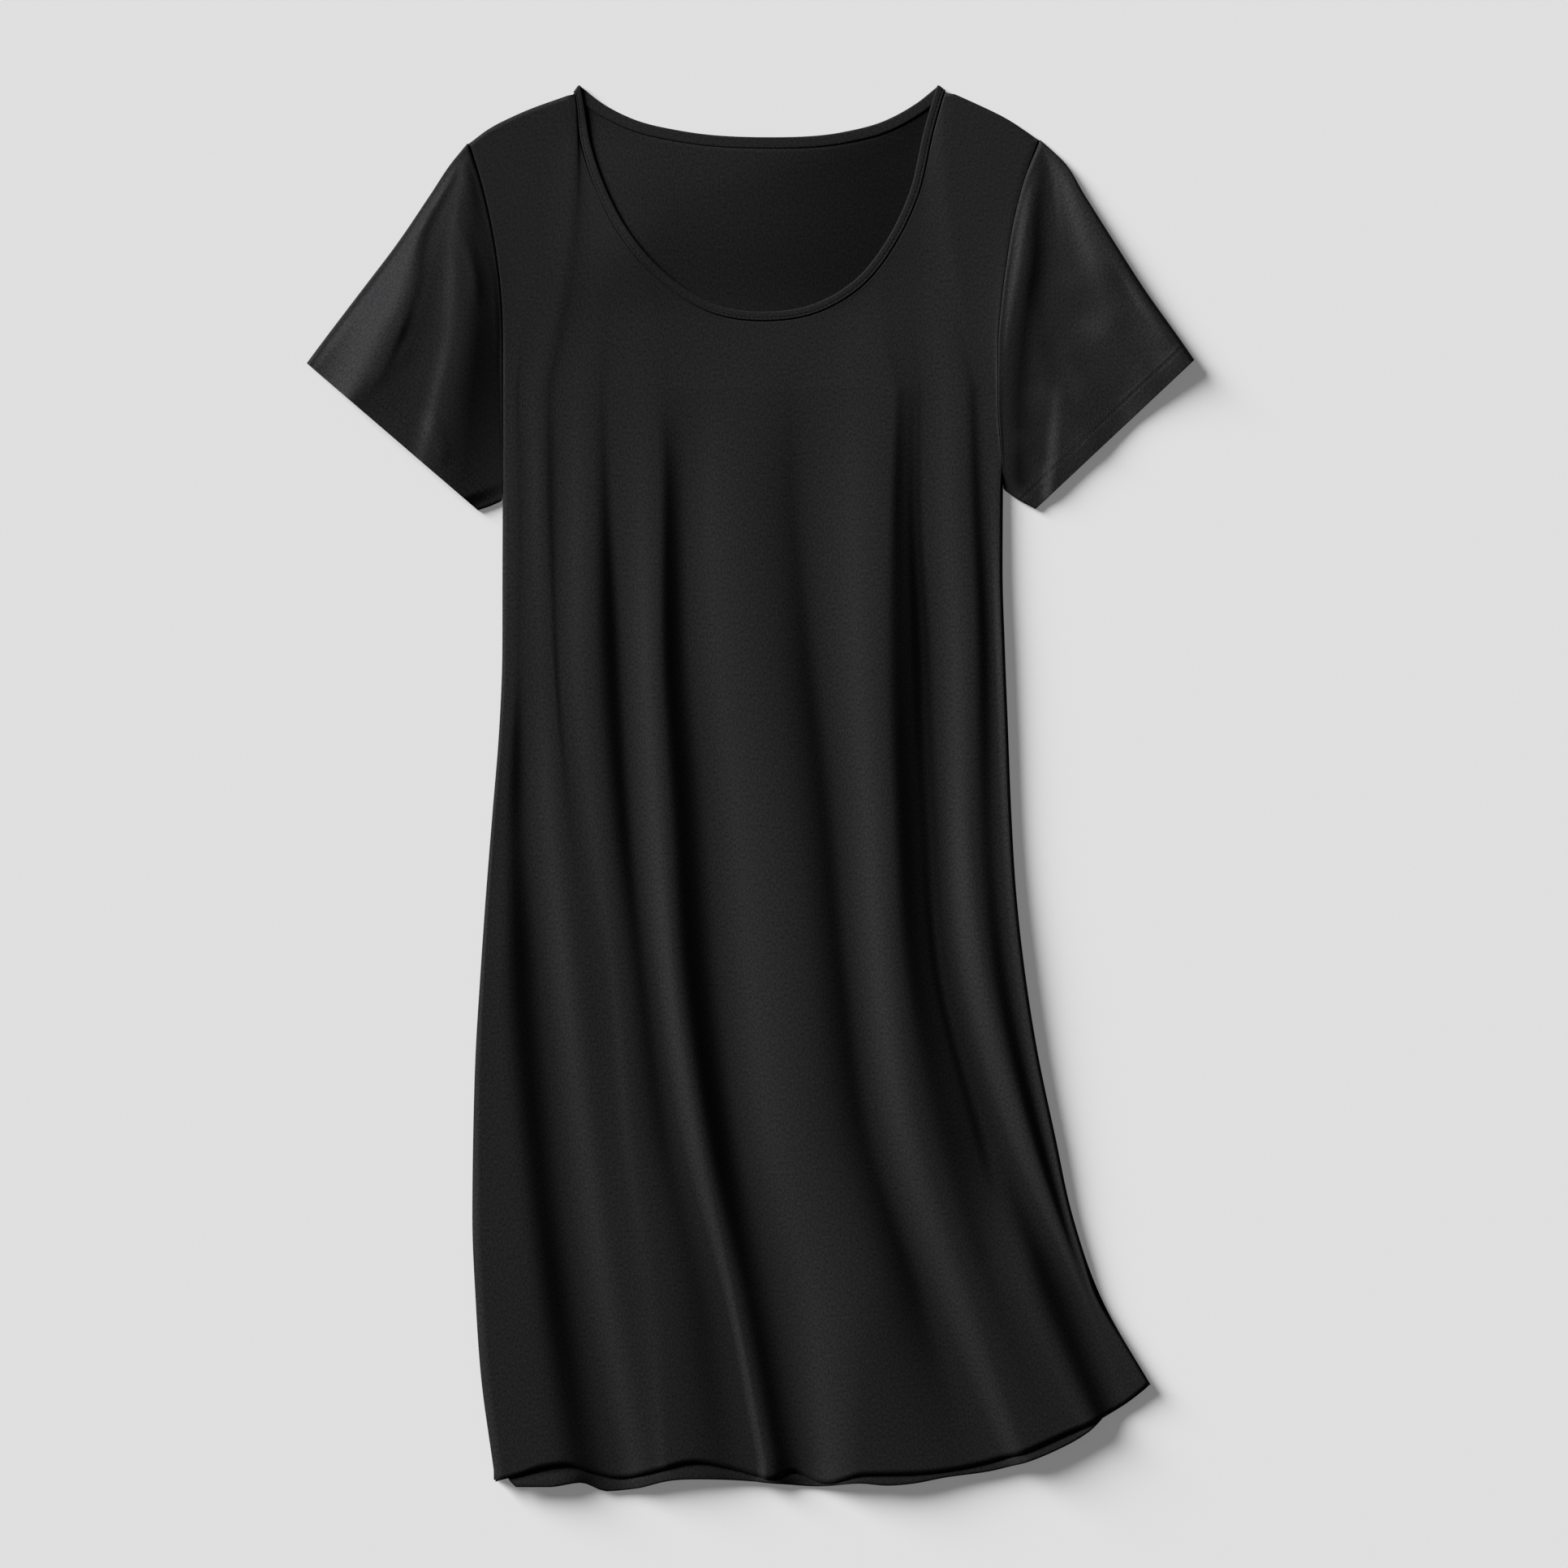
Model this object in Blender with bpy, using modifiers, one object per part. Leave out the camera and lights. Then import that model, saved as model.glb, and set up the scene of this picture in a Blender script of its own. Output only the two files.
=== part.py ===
"""A black jersey nightshirt with a scoop neck and short sleeves, laid flat on its back panel.

The garment lies on the plane Z = 0 with its front up and its neck towards +Y. Left and right are
the wearer's, so the left sleeve is on the +X side. Every cut piece is a thin wall of its own: the
back panel, the front panel with its soft lengthwise folds, the two sleeves, which are flattened
tubes, and the neck binding, which is one closed band. Tables and sizes are in millimetres, and
MM turns them into metres where the meshes are made.
"""

import bpy
import numpy as np

MM = 0.001


def table(columns, rows):
    """Rows of numbers, with a name for each column."""
    return np.array(rows, dtype=[(name, float) for name in columns.split()])


# Cloth and seams
WALL = 1.2  # the jersey with its nap
SEAM_GAP = 0.3  # between two pieces that are sewn together
ARMHOLE_GAP = 0.5  # leaves that gap where the facets of a sleeve and a panel differ
SHOULDER_CLEAR = 0.9  # and this much more where the wall of the sleeve's folded edge leans in
NECK_GAP = 0.7  # the lower edge of the front's wall leans in under the binding
BACK_TOP = WALL
RIM_TOP = 2 * WALL + SEAM_GAP  # the top of the front where it lies on the back

# Heights along the garment, measured from the middle of its length
HIGHEST_BODY_ROW = 275.0  # just below the scoop, where the rows begin to bend round it
FLANK_STRAIGHT = 0.3  # how far a fold's flank is a straight slope, from 0 to 1

# Neck binding
BINDING_WIDTH = 6.6
BINDING_THICKNESS = 2.0
BINDING_ROUND = 0.5  # off each corner of its section
NECK_RIM_TOP = 4.0  # the top of the front at the two shoulder ends of the neck
NECK_FRONT_TOP = 5.4  # the top of the front at the lowest point of the scoop
NECK_LEFT_TOP = 7.6  # the top of the front beside the neck on the wearer's left
BAND_TURN = 45.0  # the band's direction turns from the shoulder's within this length
TURN_RADIUS = (NECK_RIM_TOP - WALL / 2 - BINDING_THICKNESS / 2) / 2  # from the back to the front
TURN_REACH = TURN_RADIUS + BINDING_THICKNESS / 2

# The back stands up a little inside the neck
NECK_SWELL = 2.6
SWELL_CENTRE = (-30.0, 395.0)
SWELL_REACH = (120.0, 80.0)

# The wearer's right side is at low X, the left side at high X
SIDES = table(
    "y right left",
    [
        (446.0, -194.0, 198.5),
        (420.0, -186.0, 189.0),
        (391.0, -179.0, 181.5),
        (365.0, -174.5, 177.0),
        (339.0, -171.6, 173.5),
        (307.0, -170.5, 170.8),
        (270.0, -170.5, 170.5),
        (206.0, -170.8, 174.2),
        (152.0, -171.0, 174.0),
        (96.0, -171.1, 175.6),
        (40.0, -173.3, 177.8),
        (-16.0, -177.8, 180.0),
        (-72.0, -182.3, 183.4),
        (-128.0, -186.2, 189.6),
        (-184.0, -189.6, 198.5),
        (-240.0, -191.2, 210.3),
        (-296.0, -191.8, 222.6),
        (-352.0, -189.6, 242.2),
        (-410.0, -185.4, 275.2),
        (-470.0, -177.0, 312.0),
    ],
)
ARMHOLE_TOP = {"right": (-193.5, 444.6), "left": (198.5, 446.9)}
ARMPIT_Y = {"right": 198.2, "left": 206.0}

# Near the hem on the wearer's left the back panel stands out past the front
BACK_SHOWS = 6.0
BACK_SHOWS_AT = -350.0
BACK_SHOWS_REACH = 32.0

SHOULDER_RIGHT = table("x y", [(-193.5, 444.6), (-181.5, 453.6), (-159.5, 464.8), (-123.5, 478.2)])
SHOULDER_LEFT = table("x y", [(135.8, 480.5), (154.5, 472.2), (176.5, 461.5), (198.5, 446.9)])

# The free edge of the binding, from the wearer's right shoulder to the left one
FRONT_NECK = table(
    "x y",
    [
        (-118.4, 485.0),
        (-114.2, 465.4),
        (-110.0, 444.6),
        (-97.7, 409.4),
        (-84.8, 385.3),
        (-60.2, 356.7),
        (-24.9, 333.8),
        (14.3, 328.7),
        (40.0, 332.6),
        (70.3, 348.9),
        (97.7, 384.2),
        (108.9, 408.8),
        (120.1, 454.7),
        (129.6, 485.0),
    ],
)
BACK_NECK = table(
    "x y",
    [
        (-118.4, 485.0),
        (-103.3, 473.2),
        (-80.9, 461.4),
        (-47.3, 453.0),
        (8.7, 448.6),
        (64.7, 452.5),
        (92.7, 460.3),
        (115.1, 473.2),
        (129.6, 485.0),
    ],
)

FRONT_HEM = table(
    "x y",
    [
        (-177.0, -477.0),
        (-159.5, -472.5),
        (-143.5, -467.0),
        (-127.5, -465.0),
        (-111.5, -470.5),
        (-89.5, -475.5),
        (-69.0, -471.0),
        (-38.5, -463.5),
        (-13.5, -468.5),
        (15.0, -475.5),
        (28.5, -471.0),
        (50.5, -479.0),
        (78.5, -472.0),
        (113.5, -471.5),
        (151.5, -467.0),
        (183.0, -458.5),
        (209.5, -447.5),
        (254.0, -427.0),
        (275.0, -411.5),
    ],
)
BACK_HEM = table(
    "x y",
    [
        (-177.0, -477.0),
        (-165.0, -480.5),
        (-138.5, -480.0),
        (-117.5, -478.0),
        (-99.0, -484.5),
        (-79.0, -482.5),
        (-56.0, -476.5),
        (-40.0, -475.5),
        (12.5, -478.5),
        (45.5, -481.5),
        (75.0, -478.0),
        (94.0, -479.5),
        (113.5, -478.0),
        (132.5, -474.5),
        (171.0, -469.0),
        (209.5, -456.5),
        (244.5, -437.0),
        (275.0, -412.0),
    ],
)

# The folds of the front, from the wearer's right side to the left. A crest or the bottom of a
# valley is a column, and each row is a line across the garment, from the chest to the hem.
FOLDS = (
    "side_roll side_valley crest_1 dip_1 crest_2 dip_2 main_crest main_valley "
    "belly_crest belly_valley high_crest step lip deep_valley edge_crest edge_valley"
)
FOLD_X = table(
    "y " + FOLDS,
    [
        (275, -168.0, -164.0, -142.5, -132, -109.5, -97.5, -71, -46, 0, 38, 100, 110, 116, 122, 145, 158),
        (208, -168.0, -164.0, -143, -131.5, -109, -94.5, -63.5, -43, -2.5, 41, 95, 107, 114, 119.5, 148.5, 162.5),
        (96, -168.5, -163.0, -137, -131, -108, -87.5, -63, -40.5, 8, 50, 92, 109.5, 118.5, 127, 153, 168.5),
        (-16, -174, -152, -130, -118.5, -100.5, -80, -57.5, -28.5, 23, 62.5, 95.5, 114, 123.5, 132, 152.5, 172),
        (-128, -174, -141.5, -118.5, -100, -89.5, -66.5, -50.5, -19.5, 34.5, 73, 101, 123.5, 132, 143, 162.5, 183),
        (-240, -166, -129.5, -104.5, -91.5, -78.5, -48.5, -33.5, -5.5, 47, 90.5, 118, 151.5, 162.5, 176, 192, 204),
        (-352, -151.5, -115, -87.5, -77.5, -63, -20, -9, 19, 67.5, 124, 153, 186, 196, 223, 228, 232),
        (-464, -137, -91, -71.5, -65, -56.5, 2, 11, 41, 90, 174, 198, 236, 248, 283, 291, 298),
    ],
)
FOLD_TOP = table(
    "y " + FOLDS,
    [
        (275, 3.2, 3.4, 5.4, 4.4, 6.2, 5.2, 6.4, 4.8, 6.4, 5.0, 7.4, 5.8, 4.6, 3.8, 5.6, 4.0),
        (208, 3.4, 3.4, 6.2, 4.6, 7.4, 5.0, 8.2, 3.6, 7.2, 3.6, 10.0, 6.8, 4.8, 3.4, 7.2, 4.0),
        (96, 3.6, 3.4, 6.4, 5.2, 8.4, 3.8, 10.8, 3.2, 9.8, 4.0, 13.2, 8.8, 5.6, 3.2, 8.2, 4.2),
        (-16, 6.2, 3.2, 6.6, 5.6, 7.8, 3.8, 12.4, 3.2, 10.4, 4.2, 13.8, 9.2, 5.8, 3.2, 10.4, 5.4),
        (-128, 8.8, 3.4, 7.6, 6.6, 7.6, 4.4, 12.4, 3.2, 10.4, 4.4, 14.2, 9.4, 6.0, 3.4, 13.6, 9.4),
        (-240, 9.6, 3.6, 8.4, 7.6, 8.8, 4.6, 12.6, 3.2, 12.0, 6.2, 16.0, 10.0, 8.4, 3.4, 12.4, 8.6),
        (-352, 11.2, 4.2, 8.6, 8.8, 9.8, 4.4, 12.0, 3.2, 13.4, 6.2, 16.0, 12.4, 12.0, 3.6, 5.0, 4.4),
        (-464, 11.2, 4.4, 8.6, 9.2, 9.6, 4.4, 9.6, 3.2, 14.0, 6.4, 14.0, 11.6, 11.2, 3.6, 4.2, 3.8),
    ],
)
FOLD_STEPS = (2, 2, 3, 1, 2, 2, 2, 3, 4, 4, 3, 2, 2, 2, 2, 2, 2)  # columns of facets between lines
NECK_STARTS_AT = "crest_1"  # the fold line that meets the neck at the wearer's right shoulder
NECK_ENDS_AT = "edge_valley"  # and the one that meets it at the left shoulder

HEM_PASSES = 8  # tries at where each column meets the curved hem
BODY_ROWS = 28
YOKE_ROWS = 9
BACK_COLUMNS = (4, 18, 4)  # below the right shoulder, the neck and the left shoulder
BACK_NECK_SHARES = (0.13, 0.9)  # of the back's width, where the neck begins and ends
BACK_BODY_ROWS = 18
BACK_YOKE_ROWS = 9

# Sleeves: the folded top edge from the shoulder to the tip of the cuff
SLEEVE_EDGE = {
    "right": table(
        "y x",
        [
            (444.6, -193.5),
            (431.8, -204.7),
            (409.4, -219.8),
            (375.8, -242.8),
            (342.2, -268.5),
            (308.6, -294.3),
            (293.0, -306.0),
        ],
    ),
    "left": table(
        "y x",
        [
            (446.9, 198.5),
            (431.8, 215.3),
            (409.4, 229.3),
            (375.8, 250.6),
            (342.2, 272.4),
            (308.6, 296.5),
            (295.0, 306.0),
        ],
    ),
}
UNDERARM = {
    "right": table("x y", [(-170.8, 198.2), (-179.0, 194.5), (-187.9, 191.5)]),
    "left": table("x y", [(174.2, 206.0), (185.6, 198.2), (196.8, 192.4)]),
}
# How high the folded edge stands, from the shoulder to the cuff
EDGE_HEIGHT = {
    "right": table("along height", [(0.0, RIM_TOP), (0.3, 4.6), (0.7, 5.4), (1.0, 4.6)]),
    "left": table("along height", [(0.0, RIM_TOP), (0.25, 7.0), (0.6, 7.4), (1.0, 5.2)]),
}
EDGE_BLEND = {"right": 24.0, "left": 44.0}
UNDERARM_BLEND = 12.0
SEAM_FADE = 0.14  # the folds fade out within this share of the sleeve's length from the armhole

# Folds of the sleeves: the crest's place and height from top to bottom, and the widths of its
# flanks towards -X and +X
SLEEVE_FOLDS = {
    "right": (
        table(
            "y x height low_side high_side",
            [
                (430.0, -206.0, 0.6, 12.0, 8.0),
                (398.0, -224.0, 1.8, 18.0, 10.0),
                (355.0, -233.0, 3.0, 34.0, 12.0),
                (323.0, -245.0, 3.4, 42.0, 13.0),
                (296.0, -257.0, 3.2, 40.0, 13.0),
                (274.0, -267.0, 2.6, 34.0, 12.0),
                (255.0, -275.0, 2.2, 30.0, 12.0),
            ],
        ),
        table(
            "y x height low_side high_side",
            [
                (440.0, -197.0, 0.6, 10.0, 6.0),
                (428.0, -198.0, 2.2, 14.0, 9.0),
                (385.0, -199.0, 5.0, 20.0, 17.0),
                (348.0, -197.0, 6.4, 22.0, 23.0),
                (310.0, -200.0, 7.4, 24.0, 28.0),
                (277.0, -204.0, 7.4, 26.0, 32.0),
                (240.0, -210.0, 6.6, 28.0, 36.0),
                (215.0, -213.0, 5.8, 28.0, 34.0),
            ],
        ),
    ),
    "left": (
        table(
            "y x height low_side high_side",
            [
                (436.0, 197.0, 0.6, 5.0, 8.0),
                (420.0, 195.0, 2.6, 7.0, 12.0),
                (355.0, 194.5, 5.2, 16.0, 20.0),
                (328.0, 190.0, 5.2, 16.0, 22.0),
                (308.0, 184.0, 4.2, 14.0, 22.0),
                (282.0, 175.0, 2.2, 10.0, 20.0),
                (262.0, 172.0, 0.0, 8.0, 18.0),
            ],
        ),
        table(
            "y x height low_side high_side",
            [
                (330.0, 226.0, 0.0, 20.0, 24.0),
                (290.0, 221.0, 2.2, 24.0, 28.0),
                (256.0, 216.0, 3.2, 26.0, 30.0),
                (225.0, 208.0, 3.0, 26.0, 28.0),
                (200.0, 202.0, 2.4, 24.0, 24.0),
            ],
        ),
        table(
            "y x height low_side high_side",
            [
                (322.0, 236.0, 0.0, 12.0, 14.0),
                (300.0, 250.0, 1.8, 16.0, 18.0),
                (276.0, 268.0, 2.2, 18.0, 20.0),
                (262.0, 279.0, 1.6, 16.0, 16.0),
            ],
        ),
    ),
}
SLEEVE_ROWS = 14
SLEEVE_TOP_COLUMNS = 18
SLEEVE_UNDER_COLUMNS = 8
BEND_ANGLES = np.radians([-45.0, 0.0, 45.0])  # the facets round a folded edge
TURN_ANGLES = np.radians([60.0, 30.0, 0.0, -30.0, -60.0])  # and round the turned binding

JERSEY_BLACK = (0.0125, 0.0125, 0.0135, 1.0)
RIB_BLACK = (0.0110, 0.0110, 0.0120, 1.0)


def ease(share):
    """A soft step from 0 to 1."""
    share = np.clip(share, 0.0, 1.0)
    return share * share * (3.0 - 2.0 * share)


def smooth(at, stations, values):
    """The value at each place on a cubic curve through the stations, level past both ends.

    The slope at a station is the mean of its two neighbours' slopes, and none where they differ
    in sign, so the curve never swings past its points.
    """
    order = np.argsort(stations)
    stations, values = np.asarray(stations)[order], np.asarray(values)[order]
    steps = np.diff(stations)
    rises = np.diff(values) / steps
    slopes = np.empty_like(values)
    slopes[1:-1] = np.where(rises[1:] * rises[:-1] > 0, (rises[1:] + rises[:-1]) / 2, 0.0)
    limit = 3 * np.minimum(abs(rises[1:]), abs(rises[:-1]))
    slopes[1:-1] = np.clip(slopes[1:-1], -limit, limit)
    slopes[0], slopes[-1] = rises[0], rises[-1]
    at = np.clip(at, stations[0], stations[-1])
    place = np.clip(np.searchsorted(stations, at, side="right") - 1, 0, len(steps) - 1)
    step = steps[place]
    t = (at - stations[place]) / step
    start = values[place] * (1 + 2 * t) * (1 - t) ** 2 + values[place + 1] * t * t * (3 - 2 * t)
    return start + step * (slopes[place] * t * (1 - t) ** 2 - slopes[place + 1] * t * t * (1 - t))


def along_curve(points, shares):
    """Places at the given shares of the length of a smooth curve through the points of a table."""
    corners = np.column_stack([points["x"], points["y"]])
    chord = np.append(0.0, np.cumsum(np.hypot(*np.diff(corners, axis=0).T)))
    fine = np.linspace(0.0, chord[-1], 400)
    slopes = np.gradient(corners, chord, axis=0)
    place = np.clip(np.searchsorted(chord, fine, side="right") - 1, 0, len(chord) - 2)
    step = np.diff(chord)[place][:, None]
    t = (fine[:, None] - chord[place][:, None]) / step
    dense = (
        corners[place] * (1 + 2 * t) * (1 - t) ** 2
        + corners[place + 1] * t * t * (3 - 2 * t)
        + step * (slopes[place] * t * (1 - t) ** 2 - slopes[place + 1] * t * t * (1 - t))
    )
    length = np.append(0.0, np.cumsum(np.hypot(*np.diff(dense, axis=0).T)))
    at = np.asarray(shares) * length[-1]
    return np.column_stack([np.interp(at, length, dense[:, 0]), np.interp(at, length, dense[:, 1])])


def directions(points):
    """The unit direction of travel at each point of a run of points."""
    travel = np.gradient(points, axis=0)
    return travel / np.hypot(travel[:, 0], travel[:, 1])[:, None]


def side_x(side, y):
    """The X of the body's side seam, or of its armhole, at a height Y."""
    return smooth(y, SIDES["y"], SIDES[side])


def back_shows(y):
    """How far the back stands out past the front at the wearer's left side near the hem."""
    return BACK_SHOWS * ease(1 - abs(y - BACK_SHOWS_AT) / BACK_SHOWS_REACH)


def swell(x, y):
    """The height of the soft swelling of the back inside the neck."""
    far = np.hypot((x - SWELL_CENTRE[0]) / SWELL_REACH[0], (y - SWELL_CENTRE[1]) / SWELL_REACH[1])
    return NECK_SWELL * ease(1 - far)


def shoulder_way(free, seam):
    """The level direction square to the band at a shoulder, pointing out of the garment."""
    way = (free - seam) / np.hypot(*(free - seam))
    out = np.array([-way[1], way[0]])
    return out * np.sign(out[0] * free[0])


def band_lines(neck, shares, gap=SEAM_GAP):
    """The binding's free edge and seam edge, and the panel's edge a seam's gap past it.

    The band's width is square to the free edge, except at the shoulders, where it follows the
    shoulder seam and the lines are set in by the reach of the band's turn.
    """
    free = along_curve(neck, shares)
    travel = directions(free)
    across = np.column_stack([travel[:, 1], -travel[:, 0]])
    shift = np.zeros_like(free)
    for end, shoulder in ((0, SHOULDER_RIGHT[-1]), (-1, SHOULDER_LEFT[0])):
        seam_way = np.array([shoulder["x"], shoulder["y"]]) - free[end]
        seam_way /= np.hypot(*seam_way)
        near = ease(1 - np.hypot(*(free - free[end]).T) / BAND_TURN)[:, None]
        across = across * (1 - near) + seam_way * near
        shift -= TURN_REACH * near * shoulder_way(free[end], free[end] + seam_way)
    across /= np.hypot(across[:, 0], across[:, 1])[:, None]
    free = free + shift
    return free, free + BINDING_WIDTH * across, free + (BINDING_WIDTH + gap) * across


def neck_top(shares):
    """The height of the front's top along the neck, from the right shoulder to the left one."""
    heights = (NECK_RIM_TOP, NECK_RIM_TOP + 0.3, NECK_FRONT_TOP, NECK_LEFT_TOP, NECK_RIM_TOP)
    return smooth(shares, (0.0, 0.2, 0.52, 0.8, 1.0), heights)


def patch(bottom, top, first_side, last_side, across, along, corners):
    """A grid of places filling a four-sided outline, each row a blend of the four sides.

    `corners` holds the two ends of the bottom and the two ends of the top.
    """
    u, v = across[None, :, None], along[:, None, None]
    rows = (1 - v) * bottom[None] + v * top[None]
    columns = (1 - u) * first_side[:, None] + u * last_side[:, None]
    low = (1 - u) * corners[0][0] + u * corners[0][1]
    high = (1 - u) * corners[1][0] + u * corners[1][1]
    return rows + columns - ((1 - v) * low + v * high)


def armhole_rows(side, along):
    """Places up the armhole, from the highest body row to the shoulder."""
    y = HIGHEST_BODY_ROW + along * (ARMHOLE_TOP[side][1] - HIGHEST_BODY_ROW)
    x = side_x(side, y)
    x[-1] = ARMHOLE_TOP[side][0]
    return np.column_stack([x, y])


def yoke(bottom, neck_edge, first, last, along):
    """The rows between the highest body row and the shoulders and neck.

    `first` and `last` are the columns where the neck begins and ends.
    """
    right = along_curve(SHOULDER_RIGHT, np.linspace(0, 1, first + 1))
    left = along_curve(SHOULDER_LEFT, np.linspace(0, 1, len(bottom) - last))
    top = np.concatenate([right[:-1], neck_edge, left[1:]])
    across = (bottom[:, 0] - bottom[0, 0]) / (bottom[-1, 0] - bottom[0, 0])
    sides = armhole_rows("right", along), armhole_rows("left", along)
    corners = (bottom[0], bottom[-1]), (top[0], top[-1])
    return patch(bottom, top, *sides, across, along, corners)


def fold_columns():
    """For each column of the front: the fold line before it, and how far it is to the next."""
    line = np.repeat(np.arange(len(FOLD_STEPS)), FOLD_STEPS)
    share = np.concatenate([np.arange(steps) / steps for steps in FOLD_STEPS])
    return np.append(line, len(FOLD_STEPS) - 1), np.append(share, 1.0)


def column_of(fold):
    """The column of the front that runs along a fold line."""
    return sum(FOLD_STEPS[: 1 + FOLDS.split().index(fold)])


def front_at(y):
    """X and top Z of the front's columns, each at its own height Y."""
    line, share = fold_columns()
    x_lines = [side_x("right", y)]
    x_lines += [smooth(y, FOLD_X["y"], FOLD_X[fold]) for fold in FOLDS.split()]
    x_lines += [side_x("left", y) - back_shows(y)]
    z_lines = [np.full_like(y, RIM_TOP)]
    z_lines += [smooth(y, FOLD_TOP["y"], FOLD_TOP[fold]) for fold in FOLDS.split()]
    z_lines += [np.full_like(y, RIM_TOP)]
    x_lines, z_lines = np.array(x_lines), np.array(z_lines)
    column = np.arange(len(y))
    x = x_lines[line, column] * (1 - share) + x_lines[line + 1, column] * share
    rise = FLANK_STRAIGHT * share + (1 - FLANK_STRAIGHT) * ease(share)
    z = z_lines[line, column] * (1 - rise) + z_lines[line + 1, column] * rise
    return x, z


def front_points():
    """The front's outer surface: rows from the hem to the shoulders and neck."""
    columns = 1 + sum(FOLD_STEPS)
    hem_y = np.full(columns, FRONT_HEM["y"].mean())
    for _ in range(HEM_PASSES):
        hem_y = smooth(front_at(hem_y)[0], FRONT_HEM["x"], FRONT_HEM["y"])
    body = []
    for share in np.linspace(0.0, 1.0, BODY_ROWS + 1):
        y = hem_y * (1 - share) + HIGHEST_BODY_ROW * share
        x, z = front_at(y)
        body.append(np.column_stack([x, y, z]))
    first, last = column_of(NECK_STARTS_AT), column_of(NECK_ENDS_AT)
    along = np.linspace(0.0, 1.0, YOKE_ROWS + 1)
    plan = yoke(body[-1][:, :2], band_lines(FRONT_NECK, neck_shares(), NECK_GAP)[2], first, last, along)
    top = np.full(columns, RIM_TOP)
    top[: first + 1] += (NECK_RIM_TOP - RIM_TOP) * np.linspace(0, 1, first + 1)
    top[last:] += (NECK_RIM_TOP - RIM_TOP) * np.linspace(1, 0, columns - last)
    top[first : last + 1] = neck_top(neck_shares())
    up = ease(along)[:, None]
    height = body[-1][:, 2] * (1 - up) + top * up
    rows = np.dstack([plan, height])[1:]
    points = np.concatenate([np.array(body), rows])
    points[..., 2] += swell(points[..., 0], points[..., 1])
    return points


def neck_shares():
    """The share of the scoop's length at which each of the front's neck columns meets it."""
    return np.linspace(0.0, 1.0, column_of(NECK_ENDS_AT) - column_of(NECK_STARTS_AT) + 1)


def back_neck_shares():
    return np.linspace(0.0, 1.0, BACK_COLUMNS[1] + 1)


def back_points():
    """The back's upper surface, which is level but for the swelling inside the neck."""
    spread = (0.0, *BACK_NECK_SHARES, 1.0)
    parts = [
        np.linspace(start, end, steps, endpoint=False)
        for start, end, steps in zip(spread[:-1], spread[1:], BACK_COLUMNS)
    ]
    across = np.append(np.concatenate(parts), 1.0)

    def back_x(y):
        right = side_x("right", y)
        return right + across * (side_x("left", y) - right)

    hem_y = np.full(len(across), BACK_HEM["y"].mean())
    for _ in range(HEM_PASSES):
        hem_y = smooth(back_x(hem_y), BACK_HEM["x"], BACK_HEM["y"])
    body = []
    for share in np.linspace(0.0, 1.0, BACK_BODY_ROWS + 1):
        y = hem_y * (1 - share) + HIGHEST_BODY_ROW * share
        body.append(np.column_stack([back_x(y), y]))
    along = np.linspace(0.0, 1.0, BACK_YOKE_ROWS + 1)
    neck_edge = band_lines(BACK_NECK, back_neck_shares())[2]
    plan = yoke(body[-1], neck_edge, BACK_COLUMNS[0], sum(BACK_COLUMNS[:2]), along)[1:]
    plan = np.concatenate([np.array(body), plan])
    return np.dstack([plan, BACK_TOP + swell(plan[..., 0], plan[..., 1])])


def sleeve_plan(side, across, along):
    """Places on a sleeve seen from above, from its folded top edge across to its underarm."""
    sign = 1 if side == "left" else -1
    edge, (top_x, top_y) = SLEEVE_EDGE[side], ARMHOLE_TOP[side]

    def fold(t):
        y = top_y + t * (edge["y"][-1] - top_y)
        gap = (ARMHOLE_GAP + SHOULDER_CLEAR) * (1 - t)
        return np.column_stack([smooth(y, edge["y"], edge["x"]) + sign * gap, y])

    def under(t):
        places = along_curve(UNDERARM[side], t)
        return places + np.column_stack([sign * ARMHOLE_GAP * (1 - t), 0 * t])

    def armhole(s):
        y = top_y + s * (ARMPIT_Y[side] - top_y)
        x = np.where(s > 0, side_x(side, y), top_x)
        gap = ARMHOLE_GAP + SHOULDER_CLEAR * ease(1 - s / 0.12)
        return np.column_stack([x + sign * gap, y])

    ends = np.array([0.0, 1.0])
    cuff_ends = fold(ends)[1], under(ends)[1]
    cuff = cuff_ends[0] + across[:, None] * (cuff_ends[1] - cuff_ends[0])
    corners = (fold(ends), under(ends))
    return patch(fold(along), under(along), armhole(across), cuff, along, across, corners)


def sleeve_relief(side, x, y):
    """The height of a sleeve's soft folds at places seen from above."""
    height = np.zeros_like(x)
    for fold in SLEEVE_FOLDS[side]:
        crest = smooth(y, fold["y"], fold["x"])
        offset = x - crest
        width = np.where(
            offset < 0,
            smooth(y, fold["y"], fold["low_side"]),
            smooth(y, fold["y"], fold["high_side"]),
        )
        height += smooth(y, fold["y"], fold["height"]) * ease(1 - abs(offset) / width)
    return height


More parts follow.
